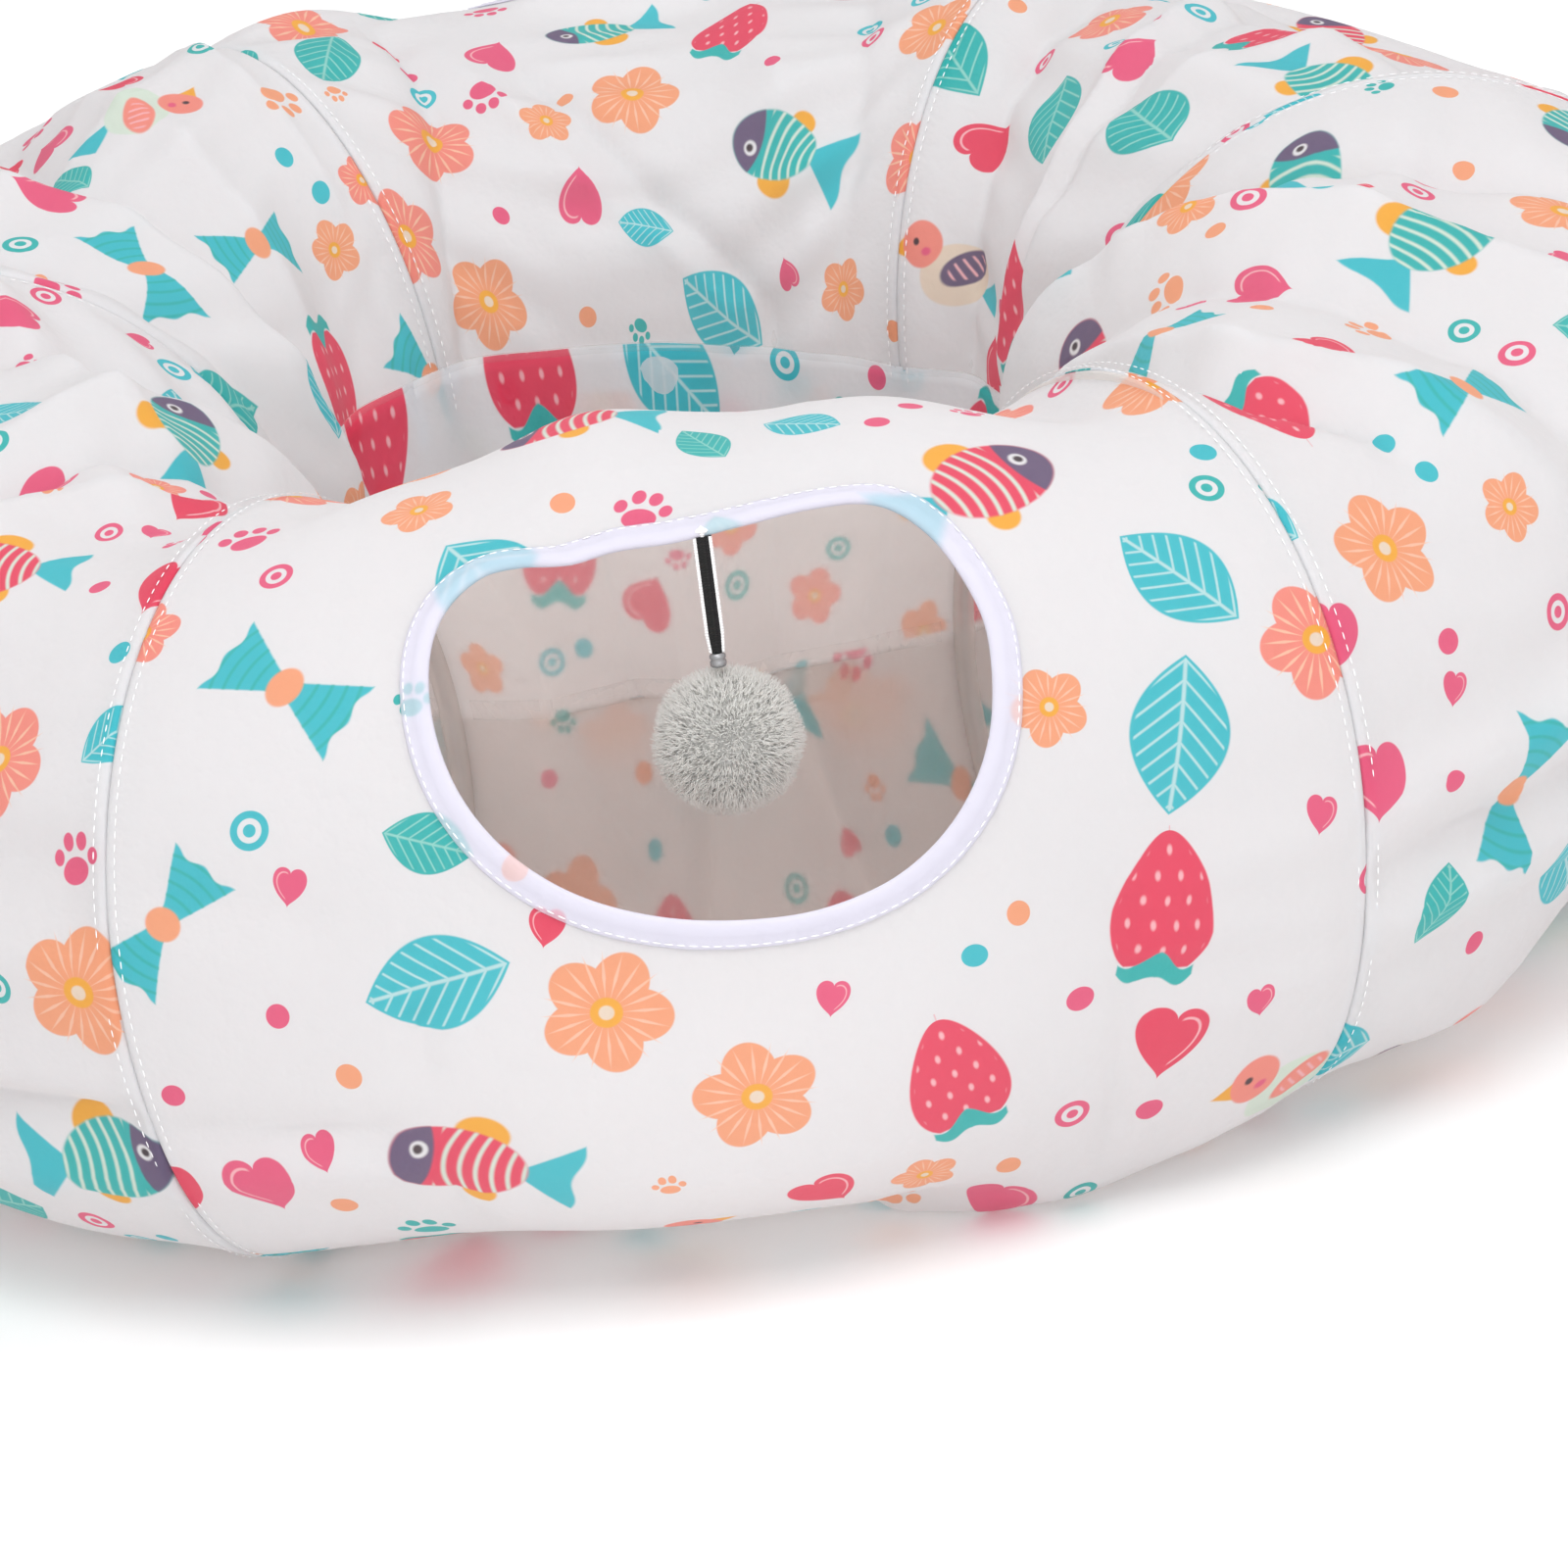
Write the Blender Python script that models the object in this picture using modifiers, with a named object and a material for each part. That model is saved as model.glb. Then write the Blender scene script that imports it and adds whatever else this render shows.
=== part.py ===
"""Ring-shaped cat tunnel: a soft printed tube on six spring-steel hoops, closed into a ring,
with a bound opening at the front and at the rear, a sewn-in mat in the middle and a pompom toy
that hangs inside the front opening on a flat elastic.

Metres, +Z up. The ring stands on z = 0 and is centred on the Z axis; the front opening faces -Y.
Azimuth is measured from the front (-Y) towards the right (+X).
"""

import math

import bmesh
import bpy
from mathutils import Matrix, Vector
from mathutils.bvhtree import BVHTree

# ---------------------------------------------------------------- driving dimensions (metres)
RING_R = 0.275            # from the ring's centre to the tube's centre line
TUBE_R = 0.125            # the tube's outside radius, so the ring is 0.80 across and 0.25 high
FABRIC_T = 0.0012         # tube fabric with its seam allowance
PANEL_COUNT = 6           # one panel between each two hoops
HOOP_FIRST = 30.0         # azimuth of the first hoop, degrees
PANEL_GAP = 0.001         # radians left free at each end of a panel
SECTION_SIDES = 24        # sides of the tube's cross-section, one of them flat on the floor
PANEL_STEPS = 8           # facets along one panel

HOOP_R = 0.1198           # radius of the wire's centre line
WIRE_R = 0.0011           # spring-steel wire, 2.2 mm
SLEEVE_R = 0.0020         # crimped sleeve that joins the wire's two ends
SLEEVE_T = 0.0006
SLEEVE_LENGTH = 0.020
SLEEVE_SIDE = 15          # the side of the cross-section that the sleeve lies on (low, towards the hole)
CASING_HALF_WIDTH = 0.0031
CASING_IN = 0.0031        # how far the casing reaches inside the wire's centre line
CASING_OUT = 0.0025       # and outside it, up to the seam between two panels
CASING_T = 0.0006

TAPE_WIDTH = 0.010        # tape over the lengthwise seam, inside the tube, at the hole's side
TAPE_T = 0.0005
TAPE_GAP = 0.0006
TAPE_CLEAR = 1.7          # degrees left free next to each hoop casing

OPENING_HALF_WIDTH = 0.0825
OPENING_HALF_HEIGHT = 0.0651
OPENING_TILT = 37.5       # degrees above the horizontal, on the tube's outer side
BINDING_WIDTH = 0.0075
BINDING_T = 0.0006
BINDING_OUT = 0.0010      # clear of the panel's outer face
BINDING_IN = 0.0007       # clear of its inner face
BINDING_WEB = 0.0020      # from the cut edge to the fold of the binding
BINDING_POINTS = 40

MAT_RIM_R = 0.1488        # where the mat's side is sewn to the tube
MAT_RIM_Z = 0.1175
MAT_FLOOR_R = 0.104
MAT_TOP_Z = 0.0195
MAT_T = 0.0012
PAD_R = 0.094
PAD_BOTTOM_Z = 0.0022
PAD_TOP_Z = 0.0165
BASE_R = 0.1015
BASE_T = 0.0016

PIVOT = (0.0, -0.3175, 0.2362)   # where the elastic leaves the opening's binding
KNOT_R = 0.0015
ELASTIC_WIDTH = 0.0058
ELASTIC_T = 0.0012
ELASTIC_TOP = 0.2344
ELASTIC_BOTTOM = 0.1968
CRIMP_R = 0.0026
CRIMP_TOP = 0.1965
CRIMP_BOTTOM = 0.1922
POMPOM_R = 0.0236
POMPOM_Z = 0.1680

WHITE_PRINT = (0.86, 0.85, 0.86)
WHITE_TAPE = (0.90, 0.90, 0.92)
LINING = (0.72, 0.69, 0.68)
STEEL = (0.55, 0.56, 0.58)
WADDING = (0.88, 0.87, 0.84)
BLACK_ELASTIC = (0.02, 0.02, 0.022)
FUR = (0.88, 0.87, 0.84)

PANEL_NAMES = ("front_right", "rear_right", "rear", "rear_left", "front_left", "front")
HOOP_NAMES = ("front_right", "right", "rear_right", "rear_left", "left", "front_left")


# ---------------------------------------------------------------- scene and small helpers
for old in list(bpy.data.objects):
    bpy.data.objects.remove(old, do_unlink=True)

PARTS = bpy.data.collections.new("cat_tunnel")
CUTTERS = bpy.data.collections.new("cutters")
bpy.context.scene.collection.children.link(PARTS)
bpy.context.scene.collection.children.link(CUTTERS)


def material(name, colour, roughness, metallic=0.0):
    mat = bpy.data.materials.new(name)
    mat.use_nodes = True
    shader = mat.node_tree.nodes["Principled BSDF"]
    shader.inputs["Base Color"].default_value = (*colour, 1.0)
    shader.inputs["Roughness"].default_value = roughness
    shader.inputs["Metallic"].default_value = metallic
    mat.diffuse_color = (*colour, 1.0)
    return mat


MATERIALS = {
    "print": material("printed_polyester", WHITE_PRINT, 0.75),
    "lining": material("mat_base_cloth", LINING, 0.85),
    "tape": material("binding_tape", WHITE_TAPE, 0.55),
    "steel": material("spring_steel", STEEL, 0.35, 1.0),
    "wadding": material("wadding", WADDING, 0.95),
    "elastic": material("flat_elastic", BLACK_ELASTIC, 0.7),
    "fur": material("plush_fur", FUR, 0.95),
}


def add_object(name, data, finish, collection=PARTS):
    obj = bpy.data.objects.new(name, data)
    collection.objects.link(obj)
    if finish:
        data.materials.append(MATERIALS[finish])
    return obj


def edge_profile(name, points, closed):
    """A mesh that holds only a line through the points, for a Screw modifier to turn."""
    mesh = bpy.data.meshes.new(name)
    count = len(points)
    edges = [(i, i + 1) for i in range(count - 1)] + ([(count - 1, 0)] if closed else [])
    mesh.from_pydata(points, edges, [])
    return mesh


def add_screw(obj, angle, steps, flip=False, whole=False):
    screw = obj.modifiers.new("turn", "SCREW")
    screw.axis = "Z"
    screw.angle = angle
    screw.steps = steps
    screw.render_steps = steps
    screw.use_smooth_shade = True
    screw.use_normal_flip = flip
    if whole:
        screw.use_merge_vertices = True
        screw.merge_threshold = 0.00001
    return screw


def add_solidify(obj, thickness):
    solid = obj.modifiers.new("thickness", "SOLIDIFY")
    solid.thickness = thickness
    solid.offset = -1.0
    solid.use_even_offset = True
    return solid


def radial(azimuth):
    """The unit vector from the Z axis outwards, at an azimuth in degrees."""
    a = math.radians(azimuth)
    return Vector((math.sin(a), -math.cos(a), 0.0))


def turn_to(azimuth):
    """The rotation about Z that brings local +X to that azimuth."""
    return math.radians(azimuth - 90.0)


def section_angle(i):
    """Angle of corner i of the tube's cross-section: side 0 lies flat on the floor."""
    return math.radians(-90.0 + (i + 0.5) * 360.0 / SECTION_SIDES)


def corner_radius(flat_radius):
    """Radius of the corners of a cross-section whose flat sides lie at flat_radius."""
    return flat_radius / math.cos(math.pi / SECTION_SIDES)


# ---------------------------------------------------------------- tube panels
def panel_surface(name):
    """The panel's outer skin: the cross-section swept round the ring from one hoop to the next."""
    radius = corner_radius(TUBE_R)
    points = [
        (RING_R + radius * math.cos(section_angle(i)), 0.0, TUBE_R + radius * math.sin(section_angle(i)))
        for i in range(SECTION_SIDES)
    ]
    return edge_profile(name, points, closed=True)


def add_panel(name, start):
    obj = add_object(name, panel_surface(name), "print")
    obj.rotation_euler = (0.0, 0.0, turn_to(start) + PANEL_GAP)
    add_screw(obj, math.radians(360.0 / PANEL_COUNT) - 2 * PANEL_GAP, PANEL_STEPS, flip=True)
    return obj


panels = {}
for k, name in enumerate(PANEL_NAMES):
    panels[name] = add_panel("panel_" + name, HOOP_FIRST + k * 360.0 / PANEL_COUNT)

bpy.context.view_layer.update()


def skin_tree(obj):
    """A search tree over the outer skin of a panel, before it gets its thickness and its opening."""
    evaluated = obj.evaluated_get(bpy.context.evaluated_depsgraph_get())
    mesh = evaluated.to_mesh()
    work = bmesh.new()
    work.from_mesh(mesh)
    bmesh.ops.transform(work, matrix=obj.matrix_world, verts=work.verts)
    tree = BVHTree.FromBMesh(work)
    work.free()
    evaluated.to_mesh_clear()
    return tree


SKINS = {"front": skin_tree(panels["front"]), "rear": skin_tree(panels["rear"])}

for obj in panels.values():
    add_solidify(obj, FABRIC_T)


# ---------------------------------------------------------------- openings and their bindings
def opening_frame(azimuth):
    """(centre, sideways, upwards, outwards) of an opening: its axis leaves the tube's centre line."""
    out = radial(azimuth)
    side = Vector((-out.y, out.x, 0.0))
    tilt = math.radians(OPENING_TILT)
    outwards = out * math.cos(tilt) + Vector((0, 0, math.sin(tilt)))
    upwards = -out * math.sin(tilt) + Vector((0, 0, math.cos(tilt)))
    return out * RING_R + Vector((0, 0, TUBE_R)), side, upwards, outwards


def cut_opening(panel, azimuth):
    centre, side, up, out = opening_frame(azimuth)
    mesh = bpy.data.meshes.new(panel.name + "_cutter")
    work = bmesh.new()
    bmesh.ops.create_cone(work, cap_ends=True, segments=BINDING_POINTS, radius1=1.0, radius2=1.0, depth=0.10)
    bmesh.ops.scale(work, vec=(OPENING_HALF_WIDTH, OPENING_HALF_HEIGHT, 1.0), verts=work.verts)
    place = Matrix((side, up, out)).transposed().to_4x4()
    place.translation = centre + out * 0.12
    bmesh.ops.transform(work, matrix=place, verts=work.verts)
    work.to_mesh(mesh)
    work.free()
    cutter = add_object(panel.name + "_cutter", mesh, None, CUTTERS)
    cutter.hide_render = True
    cutter.display_type = "WIRE"
    cut = panel.modifiers.new("opening", "BOOLEAN")
    cut.operation = "DIFFERENCE"
    cut.object = cutter
    cut.solver = "EXACT"


def tube_normal(point):
    """The tube's outward direction at a point near its skin."""
    flat = Vector((point.x, point.y, 0.0))
    middle = flat.normalized() * RING_R + Vector((0, 0, TUBE_R))
    return (point - middle).normalized()


def binding_mesh(name, azimuth, tree):
    """The tape folded round the cut edge: a leaf outside, a fold inside the opening, a leaf inside."""
    centre, side, up, out = opening_frame(azimuth)

    def on_skin(angle, beyond, lift):
        at = centre + side * ((OPENING_HALF_WIDTH + beyond) * math.cos(angle))
        at += up * ((OPENING_HALF_HEIGHT + beyond) * math.sin(angle))
        hit = tree.ray_cast(at + out * 0.3, -out)[0]
        return hit + tube_normal(hit) * lift

    inner = -FABRIC_T - BINDING_IN
    section = (
        (BINDING_WIDTH, BINDING_OUT),
        (BINDING_WIDTH, BINDING_OUT + BINDING_T),
        (-BINDING_WEB - BINDING_T, BINDING_OUT + BINDING_T),
        (-BINDING_WEB - BINDING_T, inner - BINDING_T),
        (BINDING_WIDTH, inner - BINDING_T),
        (BINDING_WIDTH, inner),
        (-BINDING_WEB, inner),
        (-BINDING_WEB, BINDING_OUT),
    )
    vertices, faces = [], []
    for i in range(BINDING_POINTS):
        angle = (i + 0.5) * 2 * math.pi / BINDING_POINTS
        vertices += [on_skin(angle, beyond, lift) for beyond, lift in section]
    size = len(section)
    for i in range(BINDING_POINTS):
        a, b = i * size, ((i + 1) % BINDING_POINTS) * size
        for j in range(size):
            k = (j + 1) % size
            faces.append((a + j, b + j, b + k, a + k))
    mesh = bpy.data.meshes.new(name)
    mesh.from_pydata(vertices, [], faces)
    work = bmesh.new()
    work.from_mesh(mesh)
    bmesh.ops.recalc_face_normals(work, faces=work.faces)
    work.to_mesh(mesh)
    work.free()
    return mesh


for name, azimuth in (("front", 0.0), ("rear", 180.0)):
    cut_opening(panels[name], azimuth)
    add_object(name + "_opening_binding", binding_mesh(name + "_opening_binding", azimuth, SKINS[name]), "tape")


# ---------------------------------------------------------------- hoops, sleeves and casings
def place_hoop(obj, azimuth):
    """Stands an object, made in its local XY plane, upright across the tube at that azimuth."""
    obj.location = radial(azimuth) * RING_R + Vector((0, 0, TUBE_R))
    obj.rotation_euler = (math.pi / 2, 0.0, turn_to(azimuth))


def add_wire(name, azimuth):
    """One turn of spring wire. Its two ends meet in the middle of one flat side."""
    radius = corner_radius(HOOP_R)
    side_angle = math.radians(-90.0 + SLEEVE_SIDE * 360.0 / SECTION_SIDES)
    middle = Vector((HOOP_R * math.cos(side_angle), HOOP_R * math.sin(side_angle), 0.0))
    along = Vector((-math.sin(side_angle), math.cos(side_angle), 0.0))
    points = [middle + along * 0.0006]
    for i in range(SECTION_SIDES):
        angle = section_angle(SLEEVE_SIDE + i)
        points.append(Vector((radius * math.cos(angle), radius * math.sin(angle), 0.0)))
    points.append(middle - along * 0.0006)
    curve = bpy.data.curves.new(name, "CURVE")
    curve.dimensions = "3D"
    spline = curve.splines.new("POLY")
    spline.points.add(len(points) - 1)
    for target, point in zip(spline.points, points):
        target.co = (*point, 1.0)
    curve.bevel_depth = WIRE_R
    curve.bevel_resolution = 1
    curve.use_fill_caps = True
    obj = add_object(name, curve, "steel")
    place_hoop(obj, azimuth)
    return obj


def add_sleeve(name, azimuth):
    side_angle = math.radians(-90.0 + SLEEVE_SIDE * 360.0 / SECTION_SIDES)
    mesh = bpy.data.meshes.new(name)
    work = bmesh.new()
    bmesh.ops.create_cone(
        work, cap_ends=False, segments=10, radius1=SLEEVE_R, radius2=SLEEVE_R, depth=SLEEVE_LENGTH
    )
    lie = Matrix.Rotation(side_angle, 4, "Z") @ Matrix.Rotation(-math.pi / 2, 4, "X")
    lie.translation = Vector((HOOP_R * math.cos(side_angle), HOOP_R * math.sin(side_angle), 0.0))
    bmesh.ops.transform(work, matrix=lie, verts=work.verts)
    bmesh.ops.recalc_face_normals(work, faces=work.faces)
    axis_point = lie.translation
    first = work.faces[:][0]
    away = first.calc_center_median() - axis_point
    along = Vector((-math.sin(side_angle), math.cos(side_angle), 0.0))
    away -= along * away.dot(along)
    if first.normal.dot(away) < 0:
        bmesh.ops.reverse_faces(work, faces=work.faces)
    work.to_mesh(mesh)
    work.free()
    obj = add_object(name, mesh, "steel")
    place_hoop(obj, azimuth)
    add_solidify(obj, SLEEVE_T)
    return obj


def add_casing(name, azimuth):
    """The tape that holds the wire: a channel that opens outwards, against the panels' seam."""
    scale = 1.0 / math.cos(math.pi / SECTION_SIDES)
    low, high = (HOOP_R - CASING_IN) * scale, (HOOP_R + CASING_OUT) * scale
    w, t = CASING_HALF_WIDTH, CASING_T
    points = [
        (high, 0, -w), (low, 0, -w), (low, 0, w), (high, 0, w),
        (high, 0, w - t), (low + t, 0, w - t), (low + t, 0, -w + t), (high, 0, -w + t),
    ]
    obj = add_object(name, edge_profile(name, points, closed=True), "tape")
    place_hoop(obj, azimuth)
    obj.rotation_euler.rotate_axis("Z", math.radians(180.0 / SECTION_SIDES))
    add_screw(obj, 2 * math.pi, SECTION_SIDES, flip=False, whole=True)
    return obj


for k, name in enumerate(HOOP_NAMES):
    azimuth = HOOP_FIRST + k * 360.0 / PANEL_COUNT
    add_wire("hoop_" + name, azimuth)
    add_sleeve("hoop_sleeve_" + name, azimuth)
    add_casing("hoop_casing_" + name, azimuth)


# ---------------------------------------------------------------- tape over the lengthwise seam
for k, name in enumerate(PANEL_NAMES):
    rho = RING_R - TUBE_R + FABRIC_T + TAPE_GAP + TAPE_T
    line = [(rho, 0.0, TUBE_R - TAPE_WIDTH / 2), (rho, 0.0, TUBE_R + TAPE_WIDTH / 2)]
    obj = add_object("seam_tape_" + name, edge_profile("seam_tape_" + name, line, closed=False), "tape")
    start = HOOP_FIRST + k * 360.0 / PANEL_COUNT + TAPE_CLEAR
    obj.rotation_euler = (0.0, 0.0, turn_to(start))
    add_screw(obj, math.radians(360.0 / PANEL_COUNT - 2 * TAPE_CLEAR), PANEL_STEPS, flip=False)
    add_solidify(obj, TAPE_T)


# ---------------------------------------------------------------- central mat
def add_turned(name, points, finish, steps=48, closed=False, flip=False, thickness=0.0):
    obj = add_object(name, edge_profile(name, points, closed), finish)
    add_screw(obj, 2 * math.pi, steps, flip=flip, whole=True)
    if thickness:
        add_solidify(obj, thickness)
    return obj


# The top sheet: flat over the pad, then up the hole's side to the seam with the tube.
mat_profile = [
    (MAT_RIM_R - 0.0016, 0.0, MAT_RIM_Z),
    (MAT_RIM_R - 0.0065, 0.0, MAT_RIM_Z - 0.028),
    (MAT_FLOOR_R + 0.017, 0.0, 0.050),
    (MAT_FLOOR_R + 0.004, 0.0, MAT_TOP_Z + 0.006),
    (MAT_FLOOR_R - 0.008, 0.0, MAT_TOP_Z - 0.0005),
    (0.060, 0.0, MAT_TOP_Z + 0.0010),
    (0.0, 0.0, MAT_TOP_Z + 0.0015),
]
add_turned("mat_top_sheet", mat_profile, "print", flip=False, thickness=MAT_T)

pad_profile = [
    (0.0, 0.0, PAD_TOP_Z + 0.0008),
    (PAD_R - 0.014, 0.0, PAD_TOP_Z),
    (PAD_R - 0.004, 0.0, PAD_TOP_Z - 0.002),
    (PAD_R, 0.0, (PAD_TOP_Z + PAD_BOTTOM_Z) / 2),
    (PAD_R - 0.003, 0.0, PAD_BOTTOM_Z),
    (0.0, 0.0, PAD_BOTTOM_Z),
]
add_turned("mat_pad", pad_profile, "wadding", steps=32)

# The base sheet lies flat on the floor.
base = bpy.data.meshes.new("mat_base_sheet")
work = bmesh.new()
bmesh.ops.create_cone(work, cap_ends=True, segments=48, radius1=BASE_R, radius2=BASE_R, depth=BASE_T)
bmesh.ops.translate(work, vec=(0, 0, BASE_T / 2), verts=work.verts)
work.to_mesh(base)
work.free()
add_object("mat_base_sheet", base, "lining")

# The tape that covers the seam where the mat's side meets the tube.
seam = [
    (MAT_RIM_R - 0.0014, 0.0, MAT_RIM_Z + 0.0080),
    (MAT_RIM_R + 0.0002, 0.0, MAT_RIM_Z + 0.0080),
    (MAT_RIM_R + 0.0002, 0.0, MAT_RIM_Z + 0.0004),
    (MAT_RIM_R - 0.0014, 0.0, MAT_RIM_Z + 0.0004),
]
add_turned("mat_seam_binding", seam, "tape", closed=True)


# ---------------------------------------------------------------- hanging toy
def toy_empty(name, parent=None):
    obj = bpy.data.objects.new(name, None)
    obj.location = PIVOT
    obj.empty_display_size = 0.01
    PARTS.objects.link(obj)
    if parent:
        obj.parent = parent
        obj.location = (0.0, 0.0, 0.0)
    return obj


swing = toy_empty("toy_fore_aft_axis")
sideways = toy_empty("toy_sideways_axis", swing)
pull = toy_empty("toy_pull_axis", sideways)


def add_ball(name, radius, centre, finish, parent, u=12, v=8):
    mesh = bpy.data.meshes.new(name)
    work = bmesh.new()
    bmesh.ops.create_uvsphere(work, u_segments=u, v_segments=v, radius=radius)
    work.to_mesh(mesh)
    work.free()
    mesh.shade_smooth()
    obj = add_object(name, mesh, finish)
    obj.parent = parent
    obj.location = Vector(centre) - Vector(PIVOT)
    return obj


add_ball("toy_anchor_knot", KNOT_R, PIVOT, "elastic", swing)

elastic = bpy.data.meshes.new("toy_elastic")
work = bmesh.new()
bmesh.ops.create_cube(work, size=1.0)
bmesh.ops.scale(work, vec=(ELASTIC_WIDTH, ELASTIC_T, ELASTIC_TOP - ELASTIC_BOTTOM), verts=work.verts)
work.to_mesh(elastic)
work.free()
obj = add_object("toy_elastic", elastic, "elastic")
obj.parent = sideways
obj.location = (0.0, 0.0, (ELASTIC_TOP + ELASTIC_BOTTOM) / 2 - PIVOT[2])
edges = obj.modifiers.new("rounded_edges", "BEVEL")
edges.width = 0.0004
edges.segments = 1

crimp = bpy.data.meshes.new("toy_crimp")
work = bmesh.new()
bmesh.ops.create_cone(
    work, cap_ends=True, segments=16, radius1=CRIMP_R, radius2=CRIMP_R * 0.85, depth=CRIMP_TOP - CRIMP_BOTTOM
)
work.to_mesh(crimp)
work.free()
crimp.shade_smooth()
crimp.set_sharp_from_angle(angle=math.radians(40))
obj = add_object("toy_crimp", crimp, "steel")
obj.parent = pull
obj.location = (0.0, 0.0, (CRIMP_TOP + CRIMP_BOTTOM) / 2 - PIVOT[2])

add_ball("toy_pompom", POMPOM_R, (PIVOT[0], PIVOT[1], POMPOM_Z), "fur", pull, u=20, v=12)
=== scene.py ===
"""Looks for a ring-shaped cat tunnel: cloth panels draped between hoops, bound openings, a central mat and a hanging pompom."""
import math

import bpy
import numpy as np
from mathutils import Matrix, Vector


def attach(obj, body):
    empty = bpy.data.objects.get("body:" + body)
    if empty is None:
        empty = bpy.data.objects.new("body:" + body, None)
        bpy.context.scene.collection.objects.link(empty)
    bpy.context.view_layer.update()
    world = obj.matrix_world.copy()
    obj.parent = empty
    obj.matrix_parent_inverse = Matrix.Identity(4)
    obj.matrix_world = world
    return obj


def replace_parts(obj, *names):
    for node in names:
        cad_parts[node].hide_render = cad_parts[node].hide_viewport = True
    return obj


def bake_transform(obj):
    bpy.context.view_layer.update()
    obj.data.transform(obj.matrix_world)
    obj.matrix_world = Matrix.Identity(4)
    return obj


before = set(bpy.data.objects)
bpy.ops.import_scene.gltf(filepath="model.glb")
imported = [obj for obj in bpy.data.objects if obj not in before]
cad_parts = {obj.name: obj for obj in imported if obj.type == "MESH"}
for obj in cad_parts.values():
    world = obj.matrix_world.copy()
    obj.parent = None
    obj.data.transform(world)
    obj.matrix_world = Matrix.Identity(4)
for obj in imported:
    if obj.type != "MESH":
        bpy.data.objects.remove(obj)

scene = bpy.context.scene
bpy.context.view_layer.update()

D2R = math.pi / 180
PANELS = ["front_right", "rear_right", "rear", "rear_left", "front_left", "front"]
HOOP_NAMES = ["front_right", "right", "rear_right", "rear_left", "left", "front_left"]

# ---------------------------------------------------------------- sizes, in metres
TUBE_R = 0.1242                # the cloth's middle, at a hoop
MID_Z = 0.1250
WIRE_RING, WIRE_R = 0.1198, 0.0011
CLOTH_T = 0.0007
COLS, ROWS = 46, 96
END_D = [0.0, 0.0016, 0.0036]  # the rows of cloth sewn to a hoop's casing, by distance from its plane
END_LIFT = [-0.0010, 0.0004, 0.0]
OPEN_TILT = 38.4
BIND_W = 0.0070

# azimuth, centre's distance from the ring's middle, plane's azimuth, lean, width, height, how far the outer lower quarter
# is pushed out, all as the cloth pulls the hoops
HOOPS = [
    (30.4, 0.2708, 25.4, 4.5, 0.966, 0.948, 0.080),
    (90.0, 0.2660, 90.0, 0.0, 1.014, 1.014, 0.0),
    (145.5, 0.2750, 147.5, 0.0, 1.0, 1.000, 0.0),
    (212.0, 0.2750, 210.0, 0.0, 0.996, 1.022, 0.0),
    (270.0, 0.2665, 270.0, 0.0, 1.005, 1.022, 0.0),
    (330.7, 0.2858, 335.6, -4.6, 1.003, 0.940, 0.070),
]


def collection_link(ob):
    scene.collection.objects.link(ob)
    return ob


def mesh_object(name, verts, faces, materials=(), smooth=True):
    me = bpy.data.meshes.new(name)
    me.from_pydata(np.asarray(verts, float).tolist(), [], [tuple(int(i) for i in f) for f in faces])
    me.update()
    for m in materials:
        me.materials.append(m)
    if smooth:
        me.polygons.foreach_set("use_smooth", [True] * len(me.polygons))
    return collection_link(bpy.data.objects.new(name, me))


def coords(me):
    co = np.zeros(len(me.vertices) * 3, np.float32)
    me.vertices.foreach_get("co", co)
    return co.reshape(-1, 3).astype(float)


def evaluated_mesh(ob):
    dg = bpy.context.evaluated_depsgraph_get()
    return bpy.data.meshes.new_from_object(ob.evaluated_get(dg), preserve_all_data_layers=True, depsgraph=dg)


def apply_modifiers(ob):
    me = evaluated_mesh(ob)
    old = ob.data
    ob.modifiers.clear()
    if ob.data.shape_keys:
        ob.shape_key_clear()
    ob.data = me
    bpy.data.meshes.remove(old)
    me.name = ob.name
    return ob


def unit(v):
    v = np.asarray(v, float)
    return v / np.maximum(np.linalg.norm(v, axis=-1, keepdims=True), 1e-12)


# ---------------------------------------------------------------- hoops
class Hoop:
    def __init__(self, az, rc, phi, lean, wide, tall, corner):
        a, p, l = az * D2R, phi * D2R, lean * D2R
        self.wide, self.tall, self.corner = wide, tall, corner
        self.c = np.array([rc * math.sin(a), -rc * math.cos(a), MID_Z - TUBE_R * (1 - tall * math.cos(l))])
        self.h = np.array([math.sin(p), -math.cos(p), 0.0])
        self.n0 = np.array([math.cos(p), math.sin(p), 0.0])
        self.w = np.array([0, 0, 1.0]) * math.cos(l) + self.n0 * math.sin(l)
        self.n = unit(np.cross(self.w, self.h)) * 1.0
        if self.n @ self.n0 < 0:
            self.n = -self.n

    def at(self, th, r, d=0.0):
        th = np.asarray(th, float)
        low = np.mod(th + 43 * D2R + math.pi, 2 * math.pi) - math.pi
        r = np.asarray(r, float) * (1 + self.corner * np.exp(-((low / 0.46) ** 2)))
        return self.c + (r * np.cos(th) * self.wide)[..., None] * self.h + (r * np.sin(th) * self.tall)[..., None] * self.w + np.asarray(d, float)[..., None] * self.n


hoops = [Hoop(*h) for h in HOOPS]


def loft(A, B, th, s, r=TUBE_R, pull=1.04):
    """A point on the smooth tube between two hoops, at angle th round it and share s across."""
    pa, pb = A.at(th, r * np.ones_like(th)), B.at(th, r * np.ones_like(th))
    L = np.linalg.norm(pb - pa, axis=-1, keepdims=True) * pull
    s = np.asarray(s, float)[..., None]
    return (2 * s**3 - 3 * s**2 + 1) * pa + (s**3 - 2 * s**2 + s) * L * A.n + (3 * s**2 - 2 * s**3) * pb + (s**3 - s**2) * L * B.n


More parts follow.
